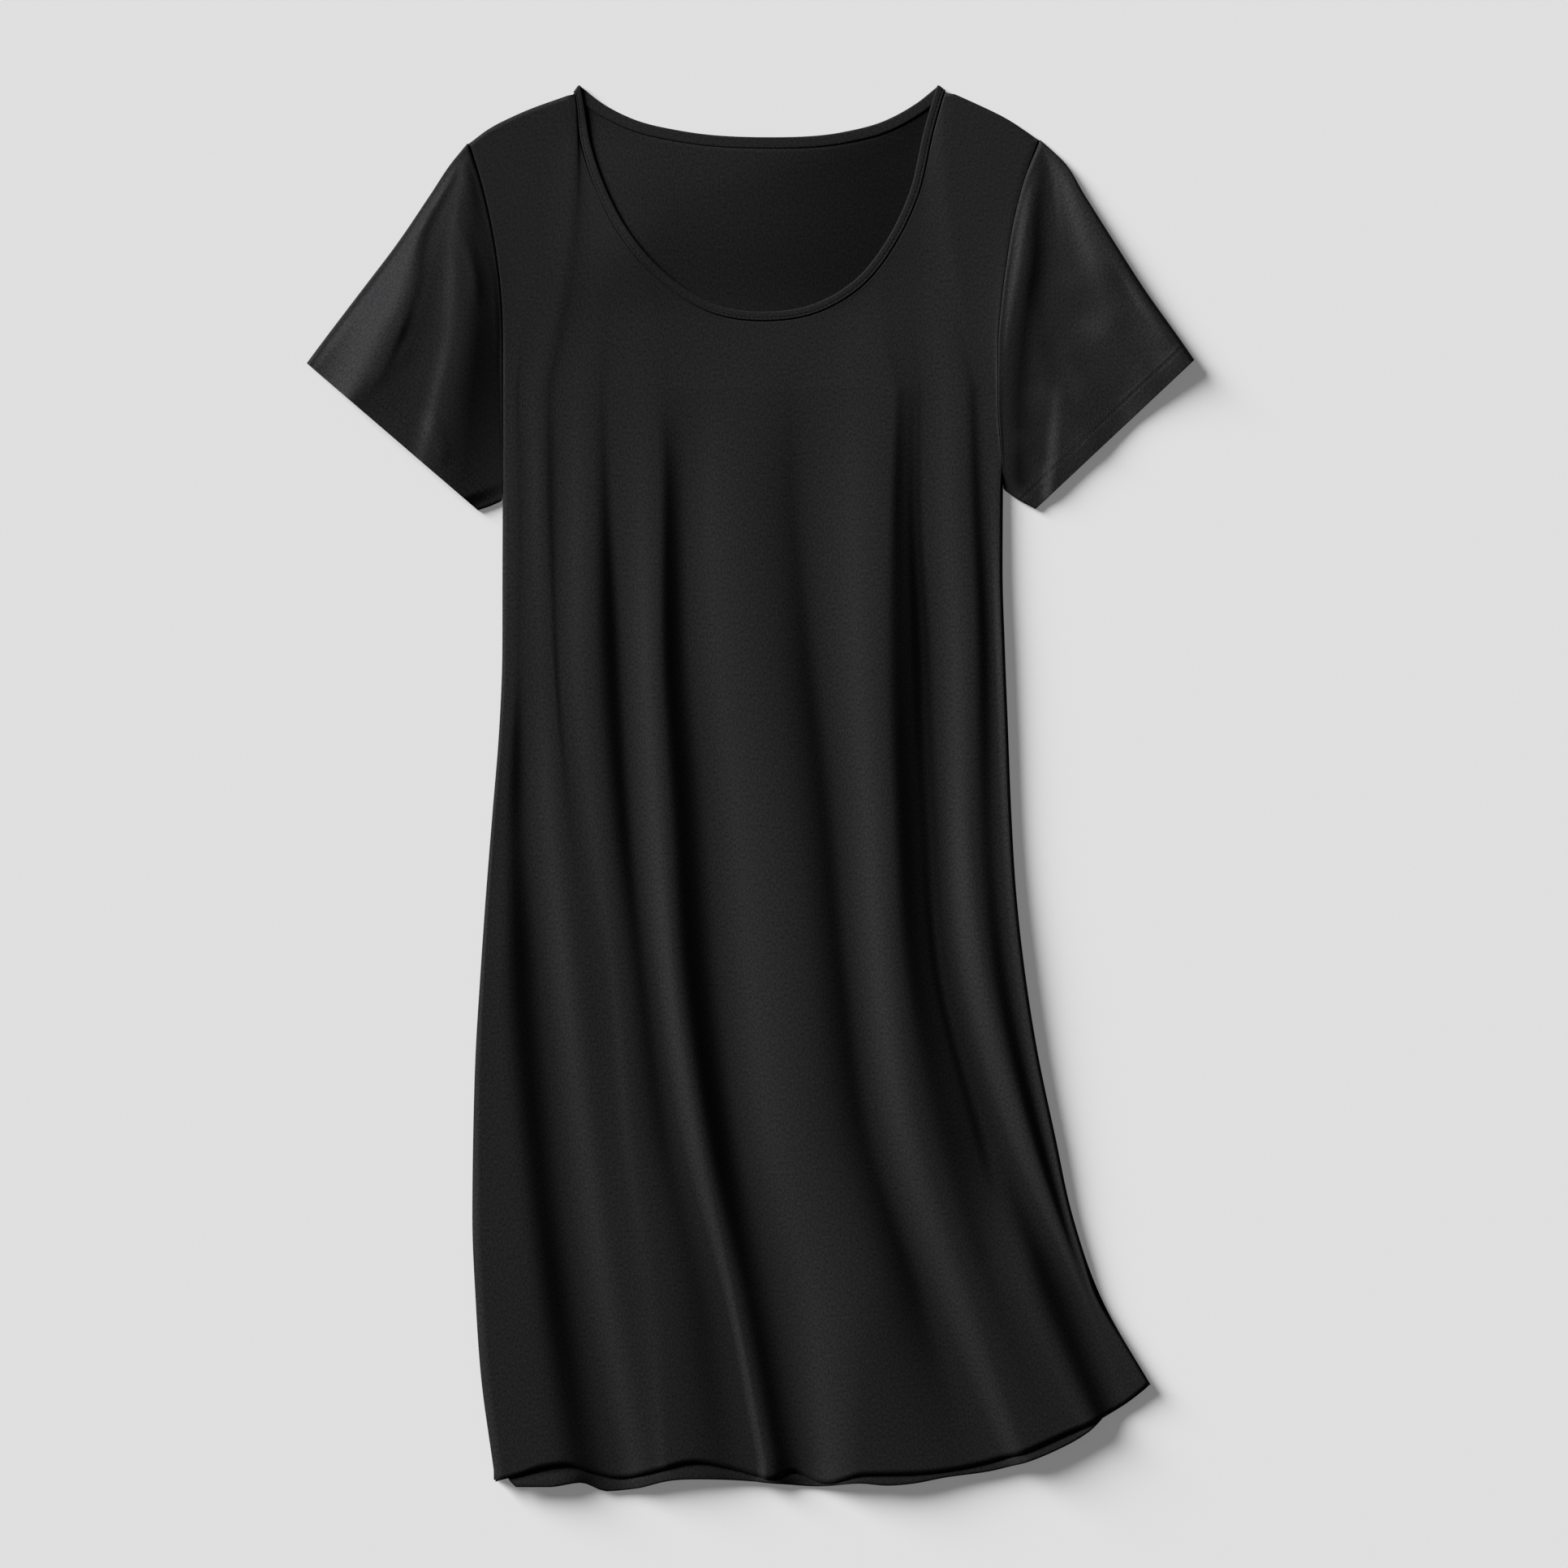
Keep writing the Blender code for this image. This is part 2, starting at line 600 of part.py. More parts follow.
def sleeve_points(side):
    """A sleeve's outer surface: a flattened ring for each row, from the armhole to the cuff."""
    along = np.linspace(0.0, 1.0, SLEEVE_ROWS + 1)
    ends = sleeve_plan(side, np.array([0.0, 1.0]), along)
    length = np.hypot(*(ends[1] - ends[0]).T)
    edge_radius = smooth(along, EDGE_HEIGHT[side]["along"], EDGE_HEIGHT[side]["height"]) / 2
    under_radius = np.full_like(along, RIM_TOP / 2)
    rings = []
    for row, t in enumerate(along):
        low, high = edge_radius[row] / length[row], 1 - under_radius[row] / length[row]
        bend = (1 - np.cos(BEND_ANGLES)), (1 + np.sin(BEND_ANGLES))
        under = np.linspace(high, low, SLEEVE_UNDER_COLUMNS + 1)
        upper = np.linspace(low, high, SLEEVE_TOP_COLUMNS + 1)
        s = np.concatenate([under, low * bend[0], upper, 1 - (1 - high) * bend[0][::-1]])
        plan = sleeve_plan(side, s, np.array([t]))[:, 0]
        top = upper_surface(side, plan[-len(upper) - 3 : -3], t, upper * length[row], edge_radius[row])
        z = np.concatenate(
            [
                np.zeros(len(under)),
                edge_radius[row] * bend[1],
                top,
                under_radius[row] * bend[1][::-1],
            ]
        )
        rings.append(np.column_stack([plan, z]))
    return np.array(rings)


def upper_surface(side, plan, along, inset, edge_radius):
    """The heights of a sleeve's upper layer across one ring."""
    fade = ease(along / SEAM_FADE)
    height = RIM_TOP + fade * sleeve_relief(side, plan[:, 0], plan[:, 1])
    edge = 1 - ease((inset - edge_radius) / EDGE_BLEND[side])
    under = ease((inset[-1] - inset) / UNDERARM_BLEND)
    height = RIM_TOP + (height - RIM_TOP) * under
    return height + (2 * edge_radius - height) * edge


def binding_points():
    """Sections round the neck binding, a closed band that turns over at each shoulder."""
    back_z = BINDING_THICKNESS / 2
    front = band_lines(FRONT_NECK, neck_shares())[:2]
    back = band_lines(BACK_NECK, back_neck_shares())[:2]
    front_z = neck_top(neck_shares()) - WALL / 2 + swell(*front[0].T)
    up = np.array([0.0, 0.0, 1.0])

    def turn_over(free, seam, angles):
        out = np.append(shoulder_way(free, seam), 0.0)
        for angle in angles:
            normal = np.cos(angle) * out + np.sin(angle) * up
            offset = TURN_RADIUS * normal + (back_z + TURN_RADIUS) * up
            yield band_section(np.append(free, 0.0) + offset, np.append(seam, 0.0) + offset, normal)

    def length_of_band(lines, heights, normal):
        for free, seam, z in zip(*lines, heights):
            yield band_section(np.append(free, z), np.append(seam, z), normal)

    back_heights = np.full(len(back[0]), back_z)
    sections = list(length_of_band(front, front_z, up))
    sections += turn_over(front[0][-1], front[1][-1], TURN_ANGLES)
    sections += reversed(list(length_of_band(back, back_heights, -up)))
    sections += turn_over(front[0][0], front[1][0], TURN_ANGLES[::-1])
    return np.array(sections)


def band_section(free, seam, normal):
    """Eight points round the band's oblong section, with its corners eased."""
    half = BINDING_THICKNESS / 2
    across = (free - seam) / np.linalg.norm(free - seam)
    corners = []
    for edge, inward, thick in ((free, -1, 1), (free, -1, -1), (seam, 1, -1), (seam, 1, 1)):
        flat = edge + across * inward * BINDING_ROUND + normal * half * thick
        side = edge + normal * (half - BINDING_ROUND) * thick
        corners += [flat, side] if thick * inward < 0 else [side, flat]
    return corners


def jersey(name, colour, roughness):
    """A dull knitted cloth, plain in colour."""
    material = bpy.data.materials.new(name)
    material.use_nodes = True
    shader = material.node_tree.nodes["Principled BSDF"]
    shader.inputs["Base Color"].default_value = colour
    shader.inputs["Roughness"].default_value = roughness
    shader.inputs["Metallic"].default_value = 0.0
    return material


def grid_faces(rows, columns, closed_rows, closed_columns):
    """Four-sided faces between neighbouring points of a grid, which may close on itself."""
    row = np.arange(rows if closed_rows else rows - 1)[:, None]
    column = np.arange(columns if closed_columns else columns - 1)[None, :]
    next_row, next_column = (row + 1) % rows, (column + 1) % columns
    corners = [(row, column), (row, next_column), (next_row, next_column), (next_row, column)]
    return np.stack([r * columns + c for r, c in corners], axis=-1).reshape(-1, 4)


def loft(name, points, material, collection, closed_rows=False, closed_columns=False, wall=WALL):
    """An object whose surface runs through a grid of points, with a cloth wall inside it."""
    rows, columns = points.shape[:2]
    faces = grid_faces(rows, columns, closed_rows, closed_columns)
    mesh = bpy.data.meshes.new(name)
    mesh.from_pydata((points.reshape(-1, 3) * MM).tolist(), [], faces.tolist())
    mesh.materials.append(material)
    mesh.shade_smooth()
    mesh.update()
    piece = bpy.data.objects.new(name, mesh)
    collection.objects.link(piece)
    if wall:
        shell = piece.modifiers.new("cloth wall", "SOLIDIFY")
        shell.thickness = wall * MM
        shell.offset = -1.0
        shell.use_even_offset = False
    return piece


def clear_scene():
    for old in list(bpy.data.objects):
        bpy.data.objects.remove(old, do_unlink=True)


def build():
    clear_scene()
    garment = bpy.data.collections.new("nightshirt")
    bpy.context.scene.collection.children.link(garment)
    cloth = jersey("black brushed jersey", JERSEY_BLACK, 0.72)
    rib = jersey("black binding jersey", RIB_BLACK, 0.78)
    loft("back_panel", back_points(), cloth, garment)
    loft("front_panel", front_points(), cloth, garment)
    loft("sleeve_left", sleeve_points("left"), cloth, garment, closed_columns=True)
    loft("sleeve_right", sleeve_points("right")[:, ::-1], cloth, garment, closed_columns=True)
    loft("neck_binding", binding_points()[:, ::-1], rib, garment, True, True, wall=0)


build()
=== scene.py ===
"""Dresses a black jersey nightshirt, laid flat with its front up and its neck towards +Y.

Each CAD piece of cloth is replaced by a thin shell on the same form with finer folds: the front,
the back, two sleeves and the folded neck binding. Small pieces of sewing thread lie on them.
Tables and sizes are in millimetres, and MM turns them into metres where the meshes are made.
"""

import bpy
import numpy as np
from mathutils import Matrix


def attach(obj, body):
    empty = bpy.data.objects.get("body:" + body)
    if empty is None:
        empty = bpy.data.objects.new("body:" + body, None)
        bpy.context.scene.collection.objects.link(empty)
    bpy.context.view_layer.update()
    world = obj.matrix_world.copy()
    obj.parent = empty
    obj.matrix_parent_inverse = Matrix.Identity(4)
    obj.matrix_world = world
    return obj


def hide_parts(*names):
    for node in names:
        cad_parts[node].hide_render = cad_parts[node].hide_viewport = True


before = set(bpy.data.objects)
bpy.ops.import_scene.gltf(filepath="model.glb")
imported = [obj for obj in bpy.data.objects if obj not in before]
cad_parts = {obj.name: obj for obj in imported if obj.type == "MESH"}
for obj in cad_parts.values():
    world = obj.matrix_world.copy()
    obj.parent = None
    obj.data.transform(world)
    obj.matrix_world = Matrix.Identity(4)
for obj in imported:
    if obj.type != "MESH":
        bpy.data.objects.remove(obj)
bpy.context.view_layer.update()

MM = 0.001
UP = np.array([0.0, 0.0, 1.0])
CURVE_STEPS = 400  # by which the length of a curve is measured
TINY = 1e-9


def table(columns, rows):
    """Rows of numbers parted by commas, with a name for each column."""
    values = [tuple(float(number) for number in row.split()) for row in rows.split(",")]
    return np.array(values, dtype=[(name, float) for name in columns.split()])


# Cloth and seams
CLOTH = 0.8  # thickness of the jersey with its nap
BINDING_CLOTH = 0.7
RIM_TOP = 2.7  # the top of the front where it meets the back
ROLL = RIM_TOP / 2  # radius of the edge where the front turns down to meet the back
ARMHOLE_ROLL = 0.5  # radius of the same edge at the armholes
ROLL_CHANGE = 20.0  # stretch above the armpits over which the one turns into the other
TUCK = 1.2  # how far the back reaches out under the sleeves at the armholes
TUCK_REACH = 6.0  # how far in from its edge the back feels that
TUCK_FADE = 0.08  # share of a sleeve's length over which its lower layer makes room for it
ARMHOLE_GAP = 0.15  # between the sleeves and the body
SHOULDER_CLEAR = 0.9  # added to that gap at the shoulder
SHOULDER_SHARE = 0.12  # share of the armhole over which that fades
NECK_GAP = 0.45  # between the front and its binding
SEAM_GAP = 0.3  # between the back and its binding
HIGHEST_BODY_ROW = 275.0  # Y of the last row below the yoke
FOLDS_END = 85.0  # how far above that row the folds reach
FOLDS_FALL = 1.6  # the power of the curve on which they die away there

# Neck binding: a strip folded double round the edge of the neck
BINDING_WIDTH = 6.6
BINDING_THICKNESS = 1.7
BINDING_DEPTH = 0.6  # of its middle below the front's top
NECK_RIM_TOP = 3.5  # the front's top at both shoulder ends of the neck
# The front's top along the neck, from the right shoulder to the left one
NECK_TOP = table("share top", f"0 {NECK_RIM_TOP}, 0.12 2.4, 0.52 2.7, 0.88 2.4, 1 {NECK_RIM_TOP}")
BAND_TURN = 45.0  # stretch over which the binding turns into the shoulder seam's way
TURN_RADIUS = (NECK_RIM_TOP - BINDING_DEPTH - BINDING_THICKNESS / 2) / 2
TURN_REACH = TURN_RADIUS + BINDING_THICKNESS / 2

# The back stands up a little inside the neck, in a dome with a reach each way
NECK_SWELL = 6.0
SWELL_CENTRE = (-48.0, 404.0)
SWELL_REACH = {"-x": 96.0, "+x": 180.0, "-y": 84.0, "+y": 62.0}
# It also rises towards the seam of its neck binding, along the nape
NAPE_RISE = 0.7
NAPE_REACH = 26.0  # how far below the binding the rise starts
NAPE_MIDDLE = 6.0  # X
NAPE_HALF = 145.0  # from the middle to both ends of the rise
NAPE_FADE = 50.0  # stretch over which it fades out at its ends
NAPE_SHARE = 0.85  # of both rises that the binding follows

# The wearer's right side is at low X
SIDES = table(
    "y right left",
    """
     446   -194 198.5,
     420   -186   189,
     391   -179 181.5,
     365 -174.5   177,
     339 -171.6 173.5,
     307 -170.5 170.8,
     270 -170.5 170.5,
     206 -170.8 174.2,
     152   -171   174,
      96 -171.1 175.6,
      40 -173.3 177.8,
     -16 -177.8   180,
     -72 -182.3 183.4,
    -128 -186.2 189.6,
    -184 -189.6 198.5,
    -240 -191.2 210.3,
    -296 -191.8 222.6,
    -352 -189.6 242.2,
    -410 -185.4 275.2,
    -470   -177   312
    """,
)
ARMHOLE_TOP = {"right": (-193.5, 444.6), "left": (198.5, 446.9)}
ARMPIT_Y = {"right": 198.2, "left": 206.0}
OUTWARD = {"right": -1, "left": 1}
# The top of the front along its sides and armholes
EDGE_TOP = table(
    "y right left",
    f"""
     447 {RIM_TOP} {RIM_TOP},
     400         3         3,
     350       3.5       4.2,
     300       3.7       5.2,
     240       3.4       5.4,
     206       3.2       4.4,
     180 {RIM_TOP} {RIM_TOP},
    -480 {RIM_TOP} {RIM_TOP}
    """,
)
# Low on the wearer's left, the back shows past the front
BACK_SHOWS = 1.6
BACK_SHOWS_AT = -350.0  # Y
BACK_SHOWS_REACH = 32.0
# Near its hem the back rises under the front's folds, and curls up where it shows beyond them
HEM_UNDER = 1.9  # how far it stays below the front's top
HEM_LIFT_REACH = 36.0
HEM_CURL = 0.6
HEM_CURL_REACH = 3.0

SHOULDER_RIGHT = table("x y", "-193.5 444.6, -181.5 453.6, -159.5 464.8, -123.5 478.2")
SHOULDER_LEFT = table("x y", "135.8 480.5, 154.5 472.2, 176.5 461.5, 198.5 446.9")
FRONT_NECK = table(
    "x y",
    """
    -118.4 485, -114.2 465.4, -110 444.6, -97.7 409.4, -84.8 385.3, -60.2 356.7, -24.9 333.8,
    14.3 328.7, 40 332.6, 70.3 348.9, 97.7 384.2, 108.9 408.8, 120.1 454.7, 129.6 485
    """,
)
BACK_NECK = table(
    "x y",
    """
    -118.4 485, -103.3 473.2, -80.9 461.4, -47.3 453, 8.7 448.6, 64.7 452.5, 92.7 460.3,
    115.1 473.2, 129.6 485
    """,
)
FRONT_HEM = table(
    "x y",
    """
    -177 -477, -159.5 -472.5, -143.5 -467, -127.5 -465, -111.5 -470.5, -89.5 -475.5, -69 -471,
    -38.5 -463.5, -13.5 -468.5, 15 -475.5, 28.5 -471, 50.5 -479, 78.5 -472, 113.5 -471.5,
    151.5 -467, 183 -458.5, 209.5 -447.5, 254 -427, 275 -411.5
    """,
)
BACK_HEM = table(
    "x y",
    """
    -177 -470, -167 -471.5, -163.5 -480.5, -138.5 -480.5, -117.5 -478, -99 -484.5, -79 -482.5,
    -56 -476.5, -40 -475.5, 12.5 -478.5, 45.5 -481.5, 75 -478, 94 -479.5, 113.5 -478,
    132.5 -474.5, 171 -469, 209.5 -455.5, 232 -443, 245 -431, 252 -426.5, 275 -408
    """,
)

# The folds of the front: crests and valleys from the wearer's right side to the left. The two
# rolls are where the cloth turns over beside the side seams, and stay a fixed way in from them.
FOLDS = (
    "right_roll side_roll side_valley crest_1 dip_1 crest_2 dip_2 main_crest main_valley "
    "belly_crest belly_valley high_crest step lip deep_valley edge_crest edge_valley left_roll"
)
ROLL_IN = 1.2  # that way in
EDGE_REACH = 9.0  # how far in from the armhole the height of its edge is felt
FOLD_X = table(
    "y side_roll side_valley crest_1 dip_1 crest_2 dip_2 main_crest main_valley "
    "belly_crest belly_valley high_crest step lip deep_valley edge_crest edge_valley",
    """
     275   -163   -158 -143.5   -133 -109.5   -97   -68   -44    0   38   98   108   114   120   147   159,
     208   -162   -155   -143 -131.5   -109 -94.5 -63.5   -43 -2.5   41   95   107   114 119.5 148.5 162.5,
      96   -163   -155   -137   -131   -108 -87.5   -63 -40.5    8   50   92 109.5 118.5   127   153   168,
     -16   -170   -152   -130 -118.5 -100.5   -80 -57.5 -28.5   23 62.5 95.5   114 123.5   132 152.5   172,
    -128 -171.5 -141.5 -118.5   -100  -89.5 -66.5 -50.5 -19.5 34.5   73  101 123.5   132   143 162.5   181,
    -240   -164 -129.5 -104.5  -91.5  -78.5 -48.5 -33.5  -5.5   47 90.5  118 151.5 162.5   176   192   203,
    -352   -151   -114    -89  -77.5    -62   -18   -10    20   80  128  154   184 195.5   228   233   236,
    -464   -137    -91  -71.5    -65  -56.5     4  11.5    40   76  174  192   236   246   268   280   288
    """,
)
FOLD_TOP = table(
    "y " + FOLDS,
    """
     275  4.3  4.4 4.1 4.6   4  4.6 4.1  4.5 4.1  4.5 3.8  5.5  4.5  3.9 3.5  5.1   4 4.3,
     208  4.8  5.2 4.9 5.8 4.6  6.3 4.7  6.5 3.4  6.3 3.2  7.8  5.4    4 3.4  6.6 4.6 5.3,
      96  6.2  6.5 6.2 7.1 6.5    9 4.8  9.3   4  9.2 4.3 10.8    7  4.2   3  7.8   5   7,
     -16  6.4  6.4 3.8 6.8 6.2    8 4.2  9.5   3  9.8 4.5 11.2  6.4    4   3  8.5 5.8 7.2,
    -128  9.6  9.6 3.8 8.2 7.5  8.2 5.2 10.4   3 10.9 5.4 12.6  7.4    5 3.8 11.6   8   9,
    -240  9.2  9.2   3 7.1 6.9    8 4.6 10.2   3 11.4 5.3 13.2    7  4.2   3   10 6.6 7.8,
    -352 10.4 10.8 3.8 8.4 8.8  9.8 5.4  8.4   3   13   6 13.4   11 11.6   4  4.6 4.8 5.6,
    -464 10.4 11.2 4.4 8.2   9 10.2 5.4  8.4   3 11.6 7.2 12.6 11.4   12 6.6  7.2 7.4 7.8
    """,
)
# For the stretch before each fold line and after the last one: its mesh columns, and how far
# along it the cloth is steepest
STRETCHES = table(
    "columns steepest",
    """
    4 0.5, 6 0.6, 8 0.45, 10 0.57, 8 0.45, 10 0.5, 10 0.6, 12 0.62, 14 0.34, 16 0.36, 14 0.7,
    12 0.54, 8 0.5, 8 0.5, 8 0.38, 10 0.55, 8 0.5, 8 0.5, 4 0.5
    """,
)
FOLD_STEPS = STRETCHES["columns"].astype(int)
NECK_STARTS_AT, NECK_ENDS_AT = "crest_1", "edge_valley"
HEM_PASSES = 8  # in which each column finds where it meets the hem
BODY_ROWS, YOKE_ROWS = 196, 60
BACK_COLUMNS = (16, 80, 16)  # right of the neck, below it and left of it
BACK_NECK_SHARES = (0.13, 0.9)  # of the way across where these meet
BACK_HEM_SHARE = 0.03  # of the way up, with finer rows
BACK_HEM_ROWS, BACK_BODY_ROWS, BACK_YOKE_ROWS = 16, 104, 44
ROLL_ANGLES = np.radians([30.0, 60.0, 90.0])  # round an edge that turns down

# Sleeves: the folded top edge from the shoulder to the tip of the cuff
SLEEVE_EDGE = {
    "right": table(
        "y x",
        """
        444.6 -193.5, 431.8 -204.7, 409.4 -219.8, 375.8 -242.8, 342.2 -268.5, 308.6 -294.3,
        293 -306
        """,
    ),
    "left": table(
        "y x",
        """
        446.9 198.5, 431.8 215.3, 409.4 229.3, 375.8 250.6, 342.2 272.4, 308.6 296.5, 295 306
        """,
    ),
}
UNDERARM = {
    "right": table("x y", "-170.8 198.2, -179 194.5, -187.9 191.5"),
    "left": table("x y", "174.2 206, 185.6 198.2, 196.8 192.4"),
}
EDGE_HEIGHT = {
    "right": table("along height", f"0 {RIM_TOP}, 0.3 3.4, 0.7 3.7, 1 3.4"),
    "left": table("along height", f"0 {RIM_TOP}, 0.2 5.6, 0.55 8, 1 8.4"),
}
EDGE_BLEND = 7.0  # stretch over which the upper layer comes down to the folded edge's height
UNDERARM_BLEND = 12.0  # and to the underarm seam's
SEAM_FADE = 0.05  # share of the length over which it leaves the armhole's height

# Fold lines down the sleeves, from -X to +X, and the heights of the upper layer there
SLEEVE_X = {
    "right": table(
        "y edge crest groove shelf ridge seam",
        """
        447 -195 -194.5 -194 -193.7 -193.5 -193.2,
        420 -213   -207 -203 -200.5   -196 -186.2,
        381 -239   -227 -220   -212   -202 -177.5,
        348 -264 -232.5 -223   -214   -201 -172.5,
        314 -291   -243 -234   -216 -202.4 -170.8,
        281 -304   -260 -248   -223   -209 -170.8,
        247 -307   -288 -272   -233   -216 -170.8,
        192 -312   -306 -298   -246   -226   -172
        """,
    ),
    "left": table(
        "y seam ridge hollow shelf crest edge",
        """
        447 198.5 198.8 199.2 199.6 200 200.5,
        424 190.5   196   206   211 216   221,
        398 183.8 190.5   208   216 229 236.5,
        365   177   188   209   222 246   258,
        331 172.5 181.5   206   228 258   281,
        297   171 175.5   205   224 258   304,
        264 171.5   173   203   217 250   306,
        230 172.5 174.5   201   214 240   308,
        192   176   178   197   208 232   310
        """,
    ),
}
SLEEVE_TOP = {
    "right": table(
        "y edge crest groove shelf ridge seam",
        """
        447 2.7  2.7 2.7 2.7 2.7 2.7,
        420 3.2    4 3.8   4 4.3 2.9,
        381 3.6  6.2 5.6 5.8 6.3 3.1,
        348 3.9  8.6 7.6 7.2   8 3.4,
        314 3.9 11.2 9.8 8.6 9.3 3.6,
        281 3.8 10.6 9.9   9  10 3.5,
        247 3.4  8.2 7.9 7.9 9.4 3.4,
        192   3  4.6 4.4 5.6 6.8 3.2
        """,
    ),
    "left": table(
        "y seam ridge hollow shelf crest edge",
        """
        447 2.7 2.7 2.7 2.7 2.7 2.7,
        424 2.4   3 2.2 3.2 4.6 5.2,
        398 2.5 4.2 2.1   3 6.2 6.8,
        365 3.1   5 2.1 2.7 7.2 8.2,
        331 3.8 5.2 2.2 2.6 5.4 8.8,
        297 4.4 5.1 2.3 2.8 4.2   9,
        264 4.7   5 2.3 3.3 3.4 6.6,
        230 4.8   5 2.4 3.9   4 5.2,
        192 3.5 3.6 2.6   4 4.6 5.4
        """,
    ),
}
# Where each stretch is steepest, and the slopes at both edges to those of their stretches
SLEEVE_STEEPEST = {"right": (0.62, 0.5, 0.5, 0.6, 0.5), "left": (0.5, 0.4, 0.5, 0.5, 0.5)}
SLEEVE_ENDS = {"right": (0.4, 1.15), "left": (0.5, 0.5)}
SEAM_RISE = {"right": 0.65, "left": 0.0}  # over the seam allowance, turned towards the sleeve
SEAM_RISE_REACH = 7.0
SEAM_RISE_FROM = 290.0  # Y above which it rises
SEAM_RISE_FADE = 60.0
# Small ridges (or hollows, below 0) that run from one place to another
WRINKLE_BOW = 0.16  # each bends to one side by a quarter of this share of its length
WRINKLE_PAST = 0.3  # share of its length by which it runs on past each end
WRINKLE_FADE = 0.5  # share over which it fades out there
WRINKLES = {
    "right": table(
        "x0 y0 x1 y1 width height",
        """
        -236 304 -256 280 6   0.3,
        -232 336 -250 312 5 -0.15,
        -218 252 -212 226 6   0.4,
        -200 385 -188 340 4   0.4
        """,
    ),
    "left": table(
        "x0 y0 x1 y1 width height",
        """
        236 316 276 282  9    1,
        226 292 260 256  9 -0.7,
        204 270 240 232 10    1,
        222 350 254 322 10 0.45,
        196 330 202 262  8  0.4,
        206 304 222 272  8 -0.4,
        254 350 278 318  8 -0.4,
        188 240 210 210  8  0.6
        """,
    ),
}
# Sleeve hems: how far in from the cuff the twin stitch lines run, and the cloth round them
HEM_LINES = (12.0, 16.0)
HEM_GROOVE = 0.12  # depth of the cloth pulled in by a line
HEM_GROOVE_WIDTH = 0.9
HEM_RAISED = 0.14  # by the turned hem's second layer under the first
HEM_RAISED_FADE = 2.0
HEM_DEPTH = 22.0  # of the part near the cuff with finer rows
SLEEVE_ROWS = (62, 36)  # down to that part, and in it
SLEEVE_TOP_COLUMNS = 112
SLEEVE_UNDER_COLUMNS = 36
BEND_ANGLES = np.radians(np.linspace(-67.5, 67.5, 7))  # round the sleeve's edges
TURN_ANGLES = np.radians(np.linspace(75.0, -75.0, 9))  # round the binding's turn at a shoulder


def ease(share):
    """A soft step from 0 to 1: three times the square of the share, less twice its cube."""
    share = np.clip(share, 0.0, 1.0)
    return share * share * (3.0 - 2.0 * share)


def cubic(start, end, start_slope, end_slope, step, t):
    """A cubic from start to end, at the share t of its step, with a slope at each end."""
    line = start * (1 + 2 * t) * (1 - t) ** 2 + end * t * t * (3 - 2 * t)
    return line + step * (start_slope * t * (1 - t) ** 2 - end_slope * t * t * (1 - t))


def read(rows, at, name=None):
    """A table's column, or its second one, on a curve over its first that swings past no point.

    The slope at a point is the mean of the two beside it, at most three times the gentler one,
    and level at a peak or a dip.
    """
    first, second = rows.dtype.names[:2]
    rows = rows[np.argsort(rows[first])]
    stations, values = rows[first], rows[name or second]
    steps = np.diff(stations)
    rises = np.diff(values) / steps
    slopes = np.empty_like(values)
    slopes[1:-1] = np.where(rises[1:] * rises[:-1] > 0, (rises[1:] + rises[:-1]) / 2, 0.0)
    limit = 3 * np.minimum(abs(rises[1:]), abs(rises[:-1]))
    slopes[1:-1] = np.clip(slopes[1:-1], -limit, limit)
    slopes[0], slopes[-1] = rises[0], rises[-1]
    at = np.clip(at, stations[0], stations[-1])
    place = np.clip(np.searchsorted(stations, at, side="right") - 1, 0, len(steps) - 1)
    t = (at - stations[place]) / steps[place]
    ends = values[place], values[place + 1], slopes[place], slopes[place + 1]
    return cubic(*ends, steps[place], t)


def read_all(rows, at):
    """All columns but the first one, read in that way."""
    return np.array([read(rows, at, name) for name in rows.dtype.names[1:]])


def unit(vectors):
    """Vectors divided by their lengths."""
    return vectors / np.linalg.norm(vectors, axis=-1, keepdims=True)


def run_of(line):
    """The length of a line of points up to each of them."""
    return np.append(0.0, np.cumsum(np.linalg.norm(np.diff(line, axis=0), axis=1)))


def places_on(line, length, at):
    """Places on a line of points at some lengths along it."""
    return np.stack([np.interp(at, length, column) for column in line.T], -1)


def pick(values, at):
    """The entry of the first axis that `at` names for each place."""
    return np.take_along_axis(values, np.broadcast_to(at, values.shape[1:])[None], 0)[0]


def along_curve(points, shares):
    """Places at shares of the length of a cubic curve through a table's points."""
    corners = np.column_stack([points["x"], points["y"]])
    chord = run_of(corners)
    fine = np.linspace(0.0, chord[-1], CURVE_STEPS)
    slopes = np.gradient(corners, chord, axis=0)
    place = np.clip(np.searchsorted(chord, fine, side="right") - 1, 0, len(chord) - 2)
    step = np.diff(chord)[place][:, None]
    t = (fine[:, None] - chord[place][:, None]) / step
    ends = corners[place], corners[place + 1], slopes[place], slopes[place + 1]
    dense = cubic(*ends, step, t)
    length = run_of(dense)
    return places_on(dense, length, np.asarray(shares) * length[-1])


def side_x(side, y):
    """The X of the side seam, or of the armhole, at a height Y."""
    return read(SIDES, y, side)


def edge_top(side, y):
    """The height of the front's top there."""
    return read(EDGE_TOP, y, side)


def back_shows(y):
    """How far the back stands out past the front near the hem on the wearer's left."""
    return BACK_SHOWS * ease(1 - abs(y - BACK_SHOWS_AT) / BACK_SHOWS_REACH)


